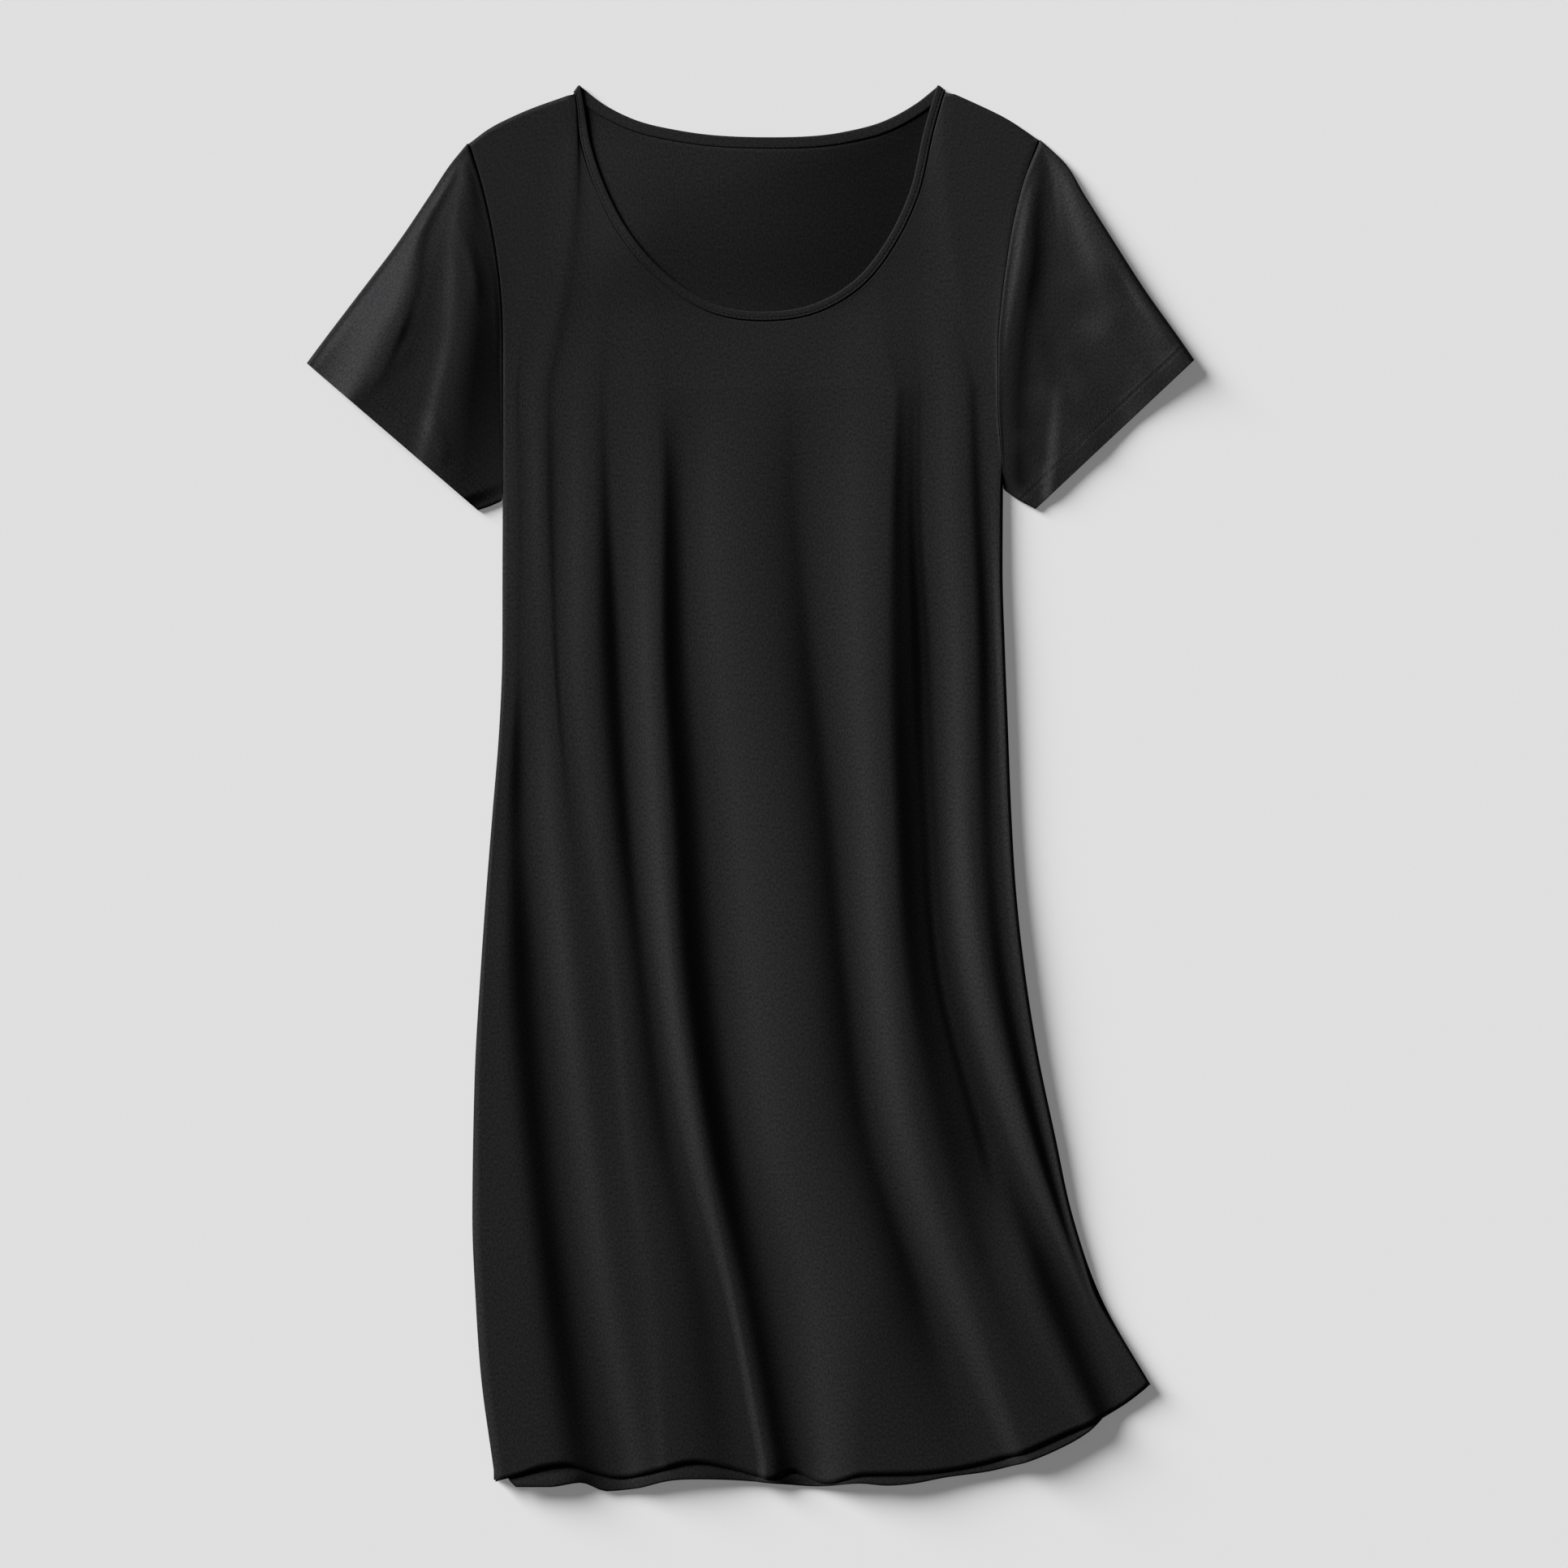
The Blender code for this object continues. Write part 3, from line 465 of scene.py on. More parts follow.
def swell(x, y):
    """The back's rise inside the neck: one less the square of the distance, squared.

    The distance is the fourth root of the sum of two fourth powers: those of the ways across and
    along from the centre, as shares of their reaches.
    """
    across = x - SWELL_CENTRE[0]
    along = y - SWELL_CENTRE[1]
    far_x = across / np.where(across < 0, SWELL_REACH["-x"], SWELL_REACH["+x"])
    far_y = along / np.where(along < 0, SWELL_REACH["-y"], SWELL_REACH["+y"])
    return NECK_SWELL * np.clip(1 - np.sqrt(far_x**4 + far_y**4), 0.0, 1.0) ** 2


def nape_rise(x):
    """How far the back rises along the seam of its neck binding, fading out at the shoulders."""
    return NAPE_RISE * ease((NAPE_HALF - abs(x - NAPE_MIDDLE)) / NAPE_FADE)


def shoulder_way(free, seam):
    """The level direction square to the band at a shoulder, pointing out of the garment."""
    way = unit(free - seam)
    out = np.array([-way[1], way[0]])
    return out * np.sign(out[0] * free[0])


def band_lines(neck, shares, gap=SEAM_GAP):
    """The binding's free edge, its seam edge and the panel's edge a gap past it.

    The width is square to the free edge, and turns into the shoulder seam's way at both ends.
    """
    free = along_curve(neck, shares)
    travel = unit(np.gradient(free, axis=0))
    across = np.column_stack([travel[:, 1], -travel[:, 0]])
    shift = np.zeros_like(free)
    for end, shoulder in ((0, SHOULDER_RIGHT[-1]), (-1, SHOULDER_LEFT[0])):
        seam_way = unit(np.array([shoulder["x"], shoulder["y"]]) - free[end])
        near = ease(1 - np.hypot(*(free - free[end]).T) / BAND_TURN)[:, None]
        across = across * (1 - near) + seam_way * near
        shift -= TURN_REACH * near * shoulder_way(free[end], free[end] + seam_way)
    across = unit(across)
    free = free + shift
    return free, free + BINDING_WIDTH * across, free + (BINDING_WIDTH + gap) * across


def patch(bottom, top, first_side, last_side, u, v, corners):
    """Points between four sides: the blend of two opposite sides plus that of the other two,
    less that of the four corners. `corners` holds both ends of the bottom and of the top."""
    u, v = u[..., None], v[..., None]
    low = (1 - u) * corners[0][0] + u * corners[0][1]
    high = (1 - u) * corners[1][0] + u * corners[1][1]
    sides = (1 - u) * first_side + u * last_side
    return (1 - v) * (bottom - low) + v * (top - high) + sides


def yoke(bottom, neck_edge, first, last, along):
    """The rows between the highest body row and the shoulders and neck, as a patch."""
    right = along_curve(SHOULDER_RIGHT, np.linspace(0, 1, first + 1))
    left = along_curve(SHOULDER_LEFT, np.linspace(0, 1, len(bottom) - last))
    top = np.concatenate([right[:-1], neck_edge, left[1:]])
    across = (bottom[:, 0] - bottom[0, 0]) / (bottom[-1, 0] - bottom[0, 0])
    sides = []
    for side in ("right", "left"):
        y = HIGHEST_BODY_ROW + along * (ARMHOLE_TOP[side][1] - HIGHEST_BODY_ROW)
        x = side_x(side, y)
        x[-1] = ARMHOLE_TOP[side][0]
        sides.append(np.column_stack([x, y])[:, None])
    corners = (bottom[0], bottom[-1]), (top[0], top[-1])
    u, v = np.broadcast_arrays(across[None], along[:, None])
    return patch(bottom[None], top[None], *sides, u, v, corners)


def column_of(fold):
    """The column of the front that runs along a fold line."""
    return sum(FOLD_STEPS[: 1 + FOLDS.split().index(fold)])


def across_folds(x, z, line, share, steepest_at=STRETCHES["steepest"], ends=(2.0, 2.0)):
    """Heights between fold lines: a quadratic spline with a knot where each stretch is steepest.

    A crest or valley is level there, a line part way down a flank takes the harmonic mean of the
    two slopes beside it, and the first and last take their stretch's slope times one of `ends`.
    """
    step, rise = np.diff(x, axis=0), np.diff(z, axis=0)
    chord = rise / step
    before, after = chord[:-1], chord[1:]
    mean = 2 * before * after / np.where(before * after > 0, before + after, 1.0)
    inner = np.where(before * after > 0, mean, 0.0)
    slope = np.concatenate([ends[0] * chord[:1], inner, ends[1] * chord[-1:]])
    h, c = pick(step, line), pick(chord, line)
    start, end = pick(slope, line), pick(slope, line + 1)
    knot = np.array(steepest_at)[line]
    steepest = 2 * c - knot * start - (1 - knot) * end
    rest = 1 - share
    low = pick(z, line) + h * share * (start + (steepest - start) * share / (2 * knot))
    high = pick(z, line + 1) - h * rest * (end + (steepest - end) * rest / (2 * (1 - knot)))
    return np.where(share < knot, low, high)


def fold_lines(y):
    """X and top Z of the front's fold lines and side edges at heights Y."""
    right, left = side_x("right", y), side_x("left", y) - back_shows(y)
    x = np.array([right, right + ROLL_IN, *read_all(FOLD_X, y), left - ROLL_IN, left])
    return x, np.array([edge_top("right", y), *read_all(FOLD_TOP, y), edge_top("left", y)])


def front_at(y):
    """X and top Z of the front's columns at heights Y."""
    line = np.append(np.repeat(np.arange(len(FOLD_STEPS)), FOLD_STEPS), len(FOLD_STEPS) - 1)
    share = np.append(np.concatenate([np.arange(n) / n for n in FOLD_STEPS]), 1.0)
    x, z = fold_lines(y)
    start = pick(x, line)
    return start + share * (pick(x, line + 1) - start), across_folds(x, z, line, share)


def roll_radius(points):
    """The radius of the turned edges: the side seams' up to the armpits, then the armholes'."""
    up = ease((points[:, :1, 1] - ARMPIT_Y["right"]) / ROLL_CHANGE)
    return ROLL + (ARMHOLE_ROLL - ROLL) * up


def turned_edges(points, radius, up=-1.0):
    """Both side edges of a panel rolled towards the other panel on a quarter circle.

    The columns near an edge move in by their row's radius, fading with the distance from it.
    The front's edges turn down, and the back's turn up.
    """
    x = points[..., 0]
    for edge, way in ((x[:, :1], 1.0), (x[:, -1:], -1.0)):
        points[..., 0] = points[..., 0] + way * radius * np.exp(-abs(x - edge) / (2 * radius))
    turn = np.stack([np.sin(ROLL_ANGLES), 0 * ROLL_ANGLES, up * (1 - np.cos(ROLL_ANGLES))], -1)
    first = points[:, :1] + radius[..., None] * turn[None, ::-1] * (-1, 1, 1)
    last = points[:, -1:] + radius[..., None] * turn[None]
    return np.concatenate([first, points, last], axis=1)


def front_surface():
    """The front's outer surface: straight columns from the hem, then a patch to the neck."""
    columns = 1 + sum(FOLD_STEPS)
    hem_y = np.full(columns, FRONT_HEM["y"].mean())
    for _ in range(HEM_PASSES):
        hem_y = read(FRONT_HEM, front_at(hem_y)[0])
    v = np.linspace(0, 1, BODY_ROWS + 1)[:, None]
    y = hem_y * (1 - v) + HIGHEST_BODY_ROW * v
    x, z = front_at(y)
    body = np.stack([x, y, z], -1)
    first, last = column_of(NECK_STARTS_AT), column_of(NECK_ENDS_AT)
    shares = np.linspace(0, 1, last - first + 1)
    along = np.linspace(0, 1, YOKE_ROWS + 1)
    plan = yoke(body[-1, :, :2], band_lines(FRONT_NECK, shares, NECK_GAP)[2], first, last, along)
    right = np.linspace(RIM_TOP, NECK_RIM_TOP, first, endpoint=False)
    left = np.linspace(NECK_RIM_TOP, RIM_TOP, columns - last)
    top = np.concatenate([right, read(NECK_TOP, shares), left[1:]])
    chest = np.linalg.norm(plan[-1] - plan[0], axis=-1)
    share = np.clip(along[:, None] * np.maximum(chest / FOLDS_END, 1.0), 0.0, 1.0)
    up = 1 - (1 - share) ** FOLDS_FALL
    height = body[-1, :, 2] * (1 - up) + top * up
    for side, column in (("right", 0), ("left", -1)):
        beside = np.exp(-abs(plan[..., 0] - plan[:, [column], 0]) / EDGE_REACH)
        lift = edge_top(side, plan[:, [column], 1]) - height[:, [column]]
        height = height + lift * beside
    rows = np.dstack([plan, height])[1:]
    points = np.concatenate([body, rows])
    points[..., 2] += swell(points[..., 0], points[..., 1])
    return turned_edges(points, roll_radius(points))


def back_surface():
    """The back's outer surface, underneath: level, but for the rises in the neck and at the hem."""
    spread = (0.0, *BACK_NECK_SHARES, 1.0)
    parts = zip(spread, spread[1:], BACK_COLUMNS)
    parts = [np.linspace(start, end, count, endpoint=False) for start, end, count in parts]
    across = np.append(np.concatenate(parts), 1.0)
    hem_y = np.full(len(across), BACK_HEM["y"].mean())

    def back_x(y):
        return side_x("right", y) + across * (side_x("left", y) - side_x("right", y))

    for _ in range(HEM_PASSES):
        hem_y = read(BACK_HEM, back_x(hem_y))
    hem_rows = np.linspace(0.0, BACK_HEM_SHARE, BACK_HEM_ROWS, endpoint=False)
    v = np.append(hem_rows, np.linspace(BACK_HEM_SHARE, 1.0, BACK_BODY_ROWS + 1))[:, None]
    y = hem_y * (1 - v) + HIGHEST_BODY_ROW * v
    body = np.stack([back_x(y), y], -1)
    along = np.linspace(0, 1, BACK_YOKE_ROWS + 1)
    neck_edge = band_lines(BACK_NECK, np.linspace(0, 1, BACK_COLUMNS[1] + 1))[2]
    plan = yoke(body[-1], neck_edge, BACK_COLUMNS[0], sum(BACK_COLUMNS[:2]), along)[1:]
    plan = np.concatenate([body, plan])
    tuck = TUCK * ease((plan[:, :1, 1] - ARMPIT_Y["right"]) / ROLL_CHANGE)
    for edge, way in ((plan[:, :1, 0], -1.0), (plan[:, -1:, 0], 1.0)):
        plan[..., 0] += way * tuck * np.exp(-abs(plan[..., 0] - edge) / TUCK_REACH)
    near_hem = plan[: len(v)]
    over = height_at(near_hem[..., 0], *fold_lines(near_hem[..., 1])) - HEM_UNDER
    lift = ease(1 - (near_hem[..., 1] - hem_y) / HEM_LIFT_REACH)
    below = read(BACK_NECK, plan[..., 0]) - BINDING_WIDTH - plan[..., 1]
    height = swell(plan[..., 0], plan[..., 1])
    height += nape_rise(plan[..., 0]) * ease(1 - below / NAPE_REACH)
    height[: len(v)] += lift * np.maximum(over, 0.0)
    beyond = read(FRONT_HEM, near_hem[..., 0]) - near_hem[..., 1]
    height[: len(v)] += HEM_CURL * ease(beyond / HEM_CURL_REACH)
    points = np.dstack([plan, height])
    return turned_edges(points, roll_radius(points), up=1.0)


def sleeve_plan(side, s, t):
    """Places on a sleeve from above: a patch between its folded edge (s = 0), its underarm
    (s = 1), its armhole (t = 0) and its cuff (t = 1)."""
    sign = OUTWARD[side]
    edge, (top_x, top_y) = SLEEVE_EDGE[side], ARMHOLE_TOP[side]

    def fold(t):
        y = top_y + t * (edge["y"][-1] - top_y)
        gap = (ARMHOLE_GAP + SHOULDER_CLEAR) * (1 - t)
        return np.stack([read(edge, y) + sign * gap, y], -1)

    def under(t):
        return along_curve(UNDERARM[side], t) + np.stack([sign * ARMHOLE_GAP * (1 - t), 0 * t], -1)

    def armhole(s):
        y = top_y + s * (ARMPIT_Y[side] - top_y)
        x = np.where(s > 0, side_x(side, y), top_x)
        gap = ARMHOLE_GAP + SHOULDER_CLEAR * ease(1 - s / SHOULDER_SHARE)
        return np.stack([x + sign * gap, y], -1)

    ends = np.array([0.0, 1.0])
    corners = (fold(ends), under(ends))
    cuff = corners[0][1] + s[..., None] * (corners[1][1] - corners[0][1])
    return patch(fold(t), under(t), armhole(s), cuff, t, s, corners)


def height_at(x, lines, tops, *steepest_and_ends):
    """The height at places X, from the X and the top of each fold line at their own Y."""
    line = np.clip((x >= lines).sum(axis=0) - 1, 0, len(lines) - 2)
    start, end = pick(lines, line), pick(lines, line + 1)
    share = np.clip((x - start) / (end - start), 0.0, 1.0)
    return across_folds(lines, tops, line, share, *steepest_and_ends)


def sleeve_top(side, x, y):
    """The height of a sleeve's upper layer, from its fold lines at each place's Y."""
    lines, tops = read_all(SLEEVE_X[side], y), read_all(SLEEVE_TOP[side], y)
    allowance = SEAM_RISE[side] * ease(1 - abs(x - side_x(side, y)) / SEAM_RISE_REACH)
    allowance = allowance * ease((y - SEAM_RISE_FROM) / SEAM_RISE_FADE)
    return height_at(x, lines, tops, SLEEVE_STEEPEST[side], SLEEVE_ENDS[side]) + allowance


def wrinkles(side, x, y):
    """Height added by the small ridges: a bell across each one, fading to both of its ends."""
    height = 0.0
    for ridge in WRINKLES[side]:
        way = np.array([ridge["x1"] - ridge["x0"], ridge["y1"] - ridge["y0"]])
        length = np.hypot(*way)
        along = ((x - ridge["x0"]) * way[0] + (y - ridge["y0"]) * way[1]) / length**2
        across = ((x - ridge["x0"]) * way[1] - (y - ridge["y0"]) * way[0]) / length
        bow = across + WRINKLE_BOW * length * along * (1 - along)
        ends = ease((along + WRINKLE_PAST) / WRINKLE_FADE)
        ends = ends * ease((1 + WRINKLE_PAST - along) / WRINKLE_FADE)
        height = height + ridge["height"] * ends * np.exp(-((bow / ridge["width"]) ** 2))
    return height


def hem_relief(inward):
    """The height of a sleeve hem's double layer, with a groove at each line of stitches."""
    grooves = sum(np.exp(-(((inward - line) / HEM_GROOVE_WIDTH) ** 2)) for line in HEM_LINES)
    raised = HEM_RAISED * (1 - ease((inward - HEM_LINES[1]) / HEM_RAISED_FADE))
    return raised - HEM_GROOVE * grooves


def sleeve_rows(side):
    """Shares of the way from armhole to cuff, closer together in the hem."""
    edge = SLEEVE_EDGE[side]
    length = np.hypot(edge["x"][-1] - edge["x"][0], edge["y"][-1] - edge["y"][0])
    start = 1 - HEM_DEPTH / length
    free = np.linspace(0.0, start, SLEEVE_ROWS[0], endpoint=False)
    return np.append(free, np.linspace(start, 1.0, SLEEVE_ROWS[1] + 1))[:, None]


def sleeve_surface(side):
    """A sleeve's outer surface: flattened rings with round edges, from armhole to cuff."""
    t = sleeve_rows(side)
    fold_end, under_end = sleeve_plan(side, 0 * t, t), sleeve_plan(side, 0 * t + 1, t)
    length = np.linalg.norm(under_end - fold_end, axis=-1)
    edge_radius = read(EDGE_HEIGHT[side], t) / 2
    low, high = edge_radius / length, 1 - ROLL / length
    inset, rise = 1 - np.cos(BEND_ANGLES), 1 + np.sin(BEND_ANGLES)
    down = high + np.linspace(0, 1, SLEEVE_UNDER_COLUMNS + 1) * (low - high)
    over = low + np.linspace(0, 1, SLEEVE_TOP_COLUMNS + 1) * (high - low)
    s = np.concatenate([down, low * inset, over, 1 - (1 - high) * inset[::-1]], axis=1)
    plan = sleeve_plan(side, s, np.broadcast_to(t, s.shape))
    bends = len(BEND_ANGLES)
    upper = plan[:, -bends - over.shape[1] : -bends]
    seam_top = edge_top(side, upper[..., 1])
    height = sleeve_top(side, upper[..., 0], upper[..., 1])
    height = height + wrinkles(side, upper[..., 0], upper[..., 1])
    height = seam_top + ease(t / SEAM_FADE) * (height - seam_top)
    edge = 1 - ease((over * length - edge_radius) / EDGE_BLEND)
    near_underarm = ease((high - over) * length / UNDERARM_BLEND)
    height = RIM_TOP + (height - RIM_TOP) * near_underarm
    height = height + (2 * edge_radius - height) * edge
    inward = np.linalg.norm(upper - upper[-1:], axis=-1)
    height = height + hem_relief(inward) * ease(t / SEAM_FADE)
    bend = np.linspace(1, 0, bends) + 0 * t
    lower = np.concatenate([1 + 0 * down, bend, 0 * over, bend[:, ::-1]], axis=1)
    plan[..., 0] += OUTWARD[side] * TUCK * lower * (1 - ease(t / TUCK_FADE))
    z = [0 * down, edge_radius * rise, height, ROLL * rise[::-1] + 0 * t]
    return np.dstack([plan, np.concatenate(z, axis=1)])


# The binding's folded strip in section: distance from its seam edge, and height off its middle
# in half thicknesses
STRIP = table(
    "across up",
    """
    0.3 0.35, 0.35 0.75, 0.7 0.96, 1.2 0.98, 1.6 0.86, 1.95 0.78, 2.3 0.88, 2.8 1, 3.6 1,
    4.6 1, 5.4 1, 5.98 0.92, 6.4 0.64, 6.57 0.25, 6.57 -0.25, 6.4 -0.64, 5.98 -0.92, 5.2 -1,
    3.6 -1, 2 -1, 0.7 -1, -0.4 -0.94, -1.2 -0.84
    """,
)
FRONT_BAND_STATIONS = 150
BACK_BAND_STATIONS = 110


def strip_sections(free, seam, normal):
    """The strip's section at each station, set along the way from seam to free edge."""
    across = unit(free - seam)[:, None]
    return (
        seam[:, None]
        + across * STRIP["across"][None, :, None]
        + normal[:, None] * STRIP["up"][None, :, None] * BINDING_THICKNESS / 2
    )


def turn_over(free, seam):
    """The strip's sections round a shoulder, on half a circle from the back to the front."""
    out = np.append(shoulder_way(free, seam), 0.0)
    normal = np.cos(TURN_ANGLES)[:, None] * out + np.sin(TURN_ANGLES)[:, None] * UP
    offset = TURN_RADIUS * normal + (BINDING_THICKNESS / 2 + TURN_RADIUS) * UP
    return strip_sections(np.append(free, 0.0) + offset, np.append(seam, 0.0) + offset, normal)


def binding_surface():
    """The binding's strip: along the scoop, over a shoulder, back along the back neck."""
    front_shares = np.linspace(0, 1, FRONT_BAND_STATIONS)
    front = band_lines(FRONT_NECK, front_shares)[:2]
    back = band_lines(BACK_NECK, np.linspace(0, 1, BACK_BAND_STATIONS))[:2]
    front_z = (read(NECK_TOP, front_shares) - BINDING_DEPTH + swell(*front[0].T))[:, None]
    back_rise = swell(*back[1].T) + nape_rise(back[1][:, 0])
    back_z = (BINDING_THICKNESS / 2 + NAPE_SHARE * back_rise)[:, None]
    scoop = strip_sections(*(np.hstack([line, front_z]) for line in front), UP + 0 * front_z)
    nape = strip_sections(*(np.hstack([line, back_z]) for line in back), -UP + 0 * back_z)
    left = turn_over(front[0][-1], front[1][-1])
    right = turn_over(front[0][0], front[1][0])[::-1]
    return np.concatenate([scoop, left, nape[::-1], right])


def linear(hex_colour):
    """An sRGB hex colour as linear red, green, blue and alpha, by the sRGB standard's curve."""
    srgb = np.array([int(hex_colour[i : i + 2], 16) for i in (1, 3, 5)]) / 255
    low, high = srgb / 12.92, ((srgb + 0.055) / 1.055) ** 2.4
    return (*np.where(srgb <= 0.04045, low, high).tolist(), 1.0)


def node(look, kind, settings=None, **links):
    """A node of a material, with its settings and what goes into its sockets."""
    made = look.node_tree.nodes.new(kind)
    for name, value in (settings or {}).items():
        if name in made.inputs:
            made.inputs[name].default_value = value
        else:
            setattr(made, name, value)
    for name, source in links.items():
        look.node_tree.links.new(source, made.inputs[name])
    return made


def material(name, **settings):
    """A material with its main shader's inputs set; an underscore stands for a space."""
    made = bpy.data.materials.new(name)
    made.use_nodes = True
    shader = made.node_tree.nodes["Principled BSDF"]
    for socket, value in settings.items():
        shader.inputs[socket.replace("_", " ")].default_value = value
    return made


JERSEY_BLACK = "#212122"
GRAIN_SHADES = (0.62, 1.38)  # darkest and lightest specks of the grain, to that colour
GRAIN_SQUEEZE = 0.62  # of the grain's pattern along the garment, which draws its specks out
LOOPS_APART = 1.1  # rows of loops as drawn, to show; the real ones are 0.5 mm apart
WAVES = 0.314  # the wave texture's scale for rows one unit apart
LOOP_DEPTH, NAP_DEPTH = 0.12, 0.25
POLISH = 0.06  # by which the roughness wanders up and down


def brushed_jersey(name, roughness, nap_mm):
    """Viscose jersey, knitted in the tube and brushed: rows of fine loops under a short nap.

    The eye sees a deep, nearly matt black with a fine grain, its colour scaled by the attribute
    nap, which holds painted shade and painted highlight.
    """
    cloth = material(name, Specular_IOR_Level=0.04)
    place = node(cloth, "ShaderNodeUVMap", {"uv_map": "cut"}).outputs["UV"]
    stretch = node(cloth, "ShaderNodeMapping", {"Scale": (1.0, GRAIN_SQUEEZE, 1.0)}, Vector=place)
    grain = node(
        cloth,
        "ShaderNodeTexNoise",
        {"Scale": 1 / (nap_mm * MM), "Detail": 3.0, "Roughness": 0.6},
        Vector=stretch.outputs["Vector"],
    ).outputs["Fac"]
    wales = node(
        cloth,
        "ShaderNodeTexWave",
        {"Scale": WAVES / (LOOPS_APART * MM), "Distortion": 1.6, "Detail": 2.0, "Detail Scale": 1.5},
        Vector=place,
    ).outputs["Fac"]
    broad = node(cloth, "ShaderNodeTexNoise", {"Scale": 26.0, "Detail": 3.0}, Vector=place)
    speck = node(cloth, "ShaderNodeMapRange", {"From Min": 0.34, "From Max": 0.66}, Value=grain)
    shade = node(
        cloth,
        "ShaderNodeMix",
        {"data_type": "RGBA", "blend_type": "MIX"},
        Factor=speck.outputs["Result"],
    )
    for socket, share in zip((6, 7), GRAIN_SHADES):
        shade.inputs[socket].default_value = (*(share * c for c in linear(JERSEY_BLACK)[:3]), 1.0)
    # The attribute nap scales the colour with painted shade and painted highlight
    painted_light = node(cloth, "ShaderNodeAttribute", {"attribute_name": "nap"}).outputs["Fac"]
    seen = node(
        cloth, "ShaderNodeVectorMath", {"operation": "SCALE"}, Vector=shade.outputs[2], Scale=painted_light
    )
    polish = node(
        cloth,
        "ShaderNodeMapRange",
        {"To Min": roughness - POLISH, "To Max": roughness + POLISH},
        Value=broad.outputs["Fac"],
    )
    bump = {"Strength": 0.12, "Distance": LOOP_DEPTH * MM}
    loops = node(cloth, "ShaderNodeBump", bump, Height=wales).outputs["Normal"]
    bump = {"Strength": 0.16, "Distance": NAP_DEPTH * MM}
    nap = node(cloth, "ShaderNodeBump", bump, Height=grain, Normal=loops)
    shader = cloth.node_tree.nodes["Principled BSDF"]
    for socket, source in (
        ("Base Color", seen.outputs["Vector"]),
        ("Roughness", polish.outputs["Result"]),
        ("Normal", nap.outputs["Normal"]),
    ):
        cloth.node_tree.links.new(source, shader.inputs[socket])
    return cloth


def grid_faces(rows, columns, closed_rows, closed_columns):
    """Four-sided faces between neighbouring points of a grid, which may close on itself."""
    row = np.arange(rows if closed_rows else rows - 1)[:, None]
    column = np.arange(columns if closed_columns else columns - 1)[None, :]
    next_row, next_column = (row + 1) % rows, (column + 1) % columns
    corners = [(row, column), (row, next_column), (next_row, next_column), (next_row, column)]
    return np.stack([r * columns + c for r, c in corners], axis=-1).reshape(-1, 4)


def run_lengths(points, axis):
    """The length of the cloth up to each point along one way of the grid, from its middle."""
    steps = np.linalg.norm(np.diff(points, axis=axis), axis=-1)
    pad = [(0, 0), (0, 0)]
    pad[axis] = (1, 0)
    length = np.cumsum(np.pad(steps, pad), axis=axis)
    middle = np.take(length, [length.shape[axis] // 2], axis=axis)
    return length - middle


# Painted shade: the colour darkens where the cloth falls away from the key light, to the wearer's left and
# down
AWAY_FROM_KEY = np.array([0.82, -0.57, 0.0])
PAINTED_SHADE_FALL = (0.03, 0.26)  # where it starts to darken and where it is darkest
PAINTED_SHADE_DARK = 0.62
PAINTED_HIGHLIGHT_RISE = 0.22  # where the painted highlight is palest, as the cloth rises towards the key light
RIM_PAINTED_SHADE = 0.5  # painted shade, by which the colour darkens where the cloth turns down at an edge
RIM_FACES = 0.75  # the height of the upward normal where that starts
RIM_CHANGE = 0.3  # and the fall of it over which it grows
SLEEVE_PAINTED_HIGHLIGHT = 0.9  # painted highlight: by which the sleeves' colour is paler at its palest
BACK_PAINTED_SHADE = (0.82, 0.44)  # the back's colour towards the wearer's right and left: darker overall, and in painted shade to the left
BACK_PAINTED_SHADE_FROM = -30.0  # X
BACK_PAINTED_SHADE_REACH = 140.0
HEM_PAINTED_SHADE = 0.12  # painted shade, by which the front is darker towards the hem
HEM_PAINTED_SHADE_FROM = -100.0  # Y
HEM_PAINTED_SHADE_REACH = 320.0
CHEST_PALER = 0.09  # by which its chest is paler on the wearer's left and darker on the right
CHEST_HALF = 120.0  # half of the chest's width
CHEST_FROM = 200.0  # Y
CHEST_REACH = 150.0


def painted_slope_light(points, pale):
    """Painted light in the cloth's colour: painted shade where the cloth falls away from the key light,
    to the wearer's left and hem, a painted highlight by a share where it rises towards that light,
    and painted shade where it turns down at an edge. The fall is the part of the upward normal
    that points away from the key light."""
    normal = np.cross(np.gradient(points, axis=1), np.gradient(points, axis=0))
    normal = unit(normal + TINY * UP) * np.where(normal[..., 2:] < 0, -1.0, 1.0)
    fall = normal @ AWAY_FROM_KEY
    darker = PAINTED_SHADE_DARK * ease((fall - PAINTED_SHADE_FALL[0]) / (PAINTED_SHADE_FALL[1] - PAINTED_SHADE_FALL[0]))
    paler = pale * ease(-fall / PAINTED_HIGHLIGHT_RISE) * (1 - ease((-fall - PAINTED_HIGHLIGHT_RISE) / PAINTED_HIGHLIGHT_RISE))
    rim = RIM_PAINTED_SHADE * ease((RIM_FACES - normal[..., 2]) / RIM_CHANGE)
    return (1 - darker) * (1 + paler) * (1 - rim)


def front_shade(x, y):
    """How light the front is drawn, across its chest and in painted shade towards its hem."""
    chest = CHEST_PALER * np.clip(x / CHEST_HALF, -1.0, 1.0) * ease((y - CHEST_FROM) / CHEST_REACH)
    return 1 + chest - HEM_PAINTED_SHADE * ease((HEM_PAINTED_SHADE_FROM - y) / HEM_PAINTED_SHADE_REACH)


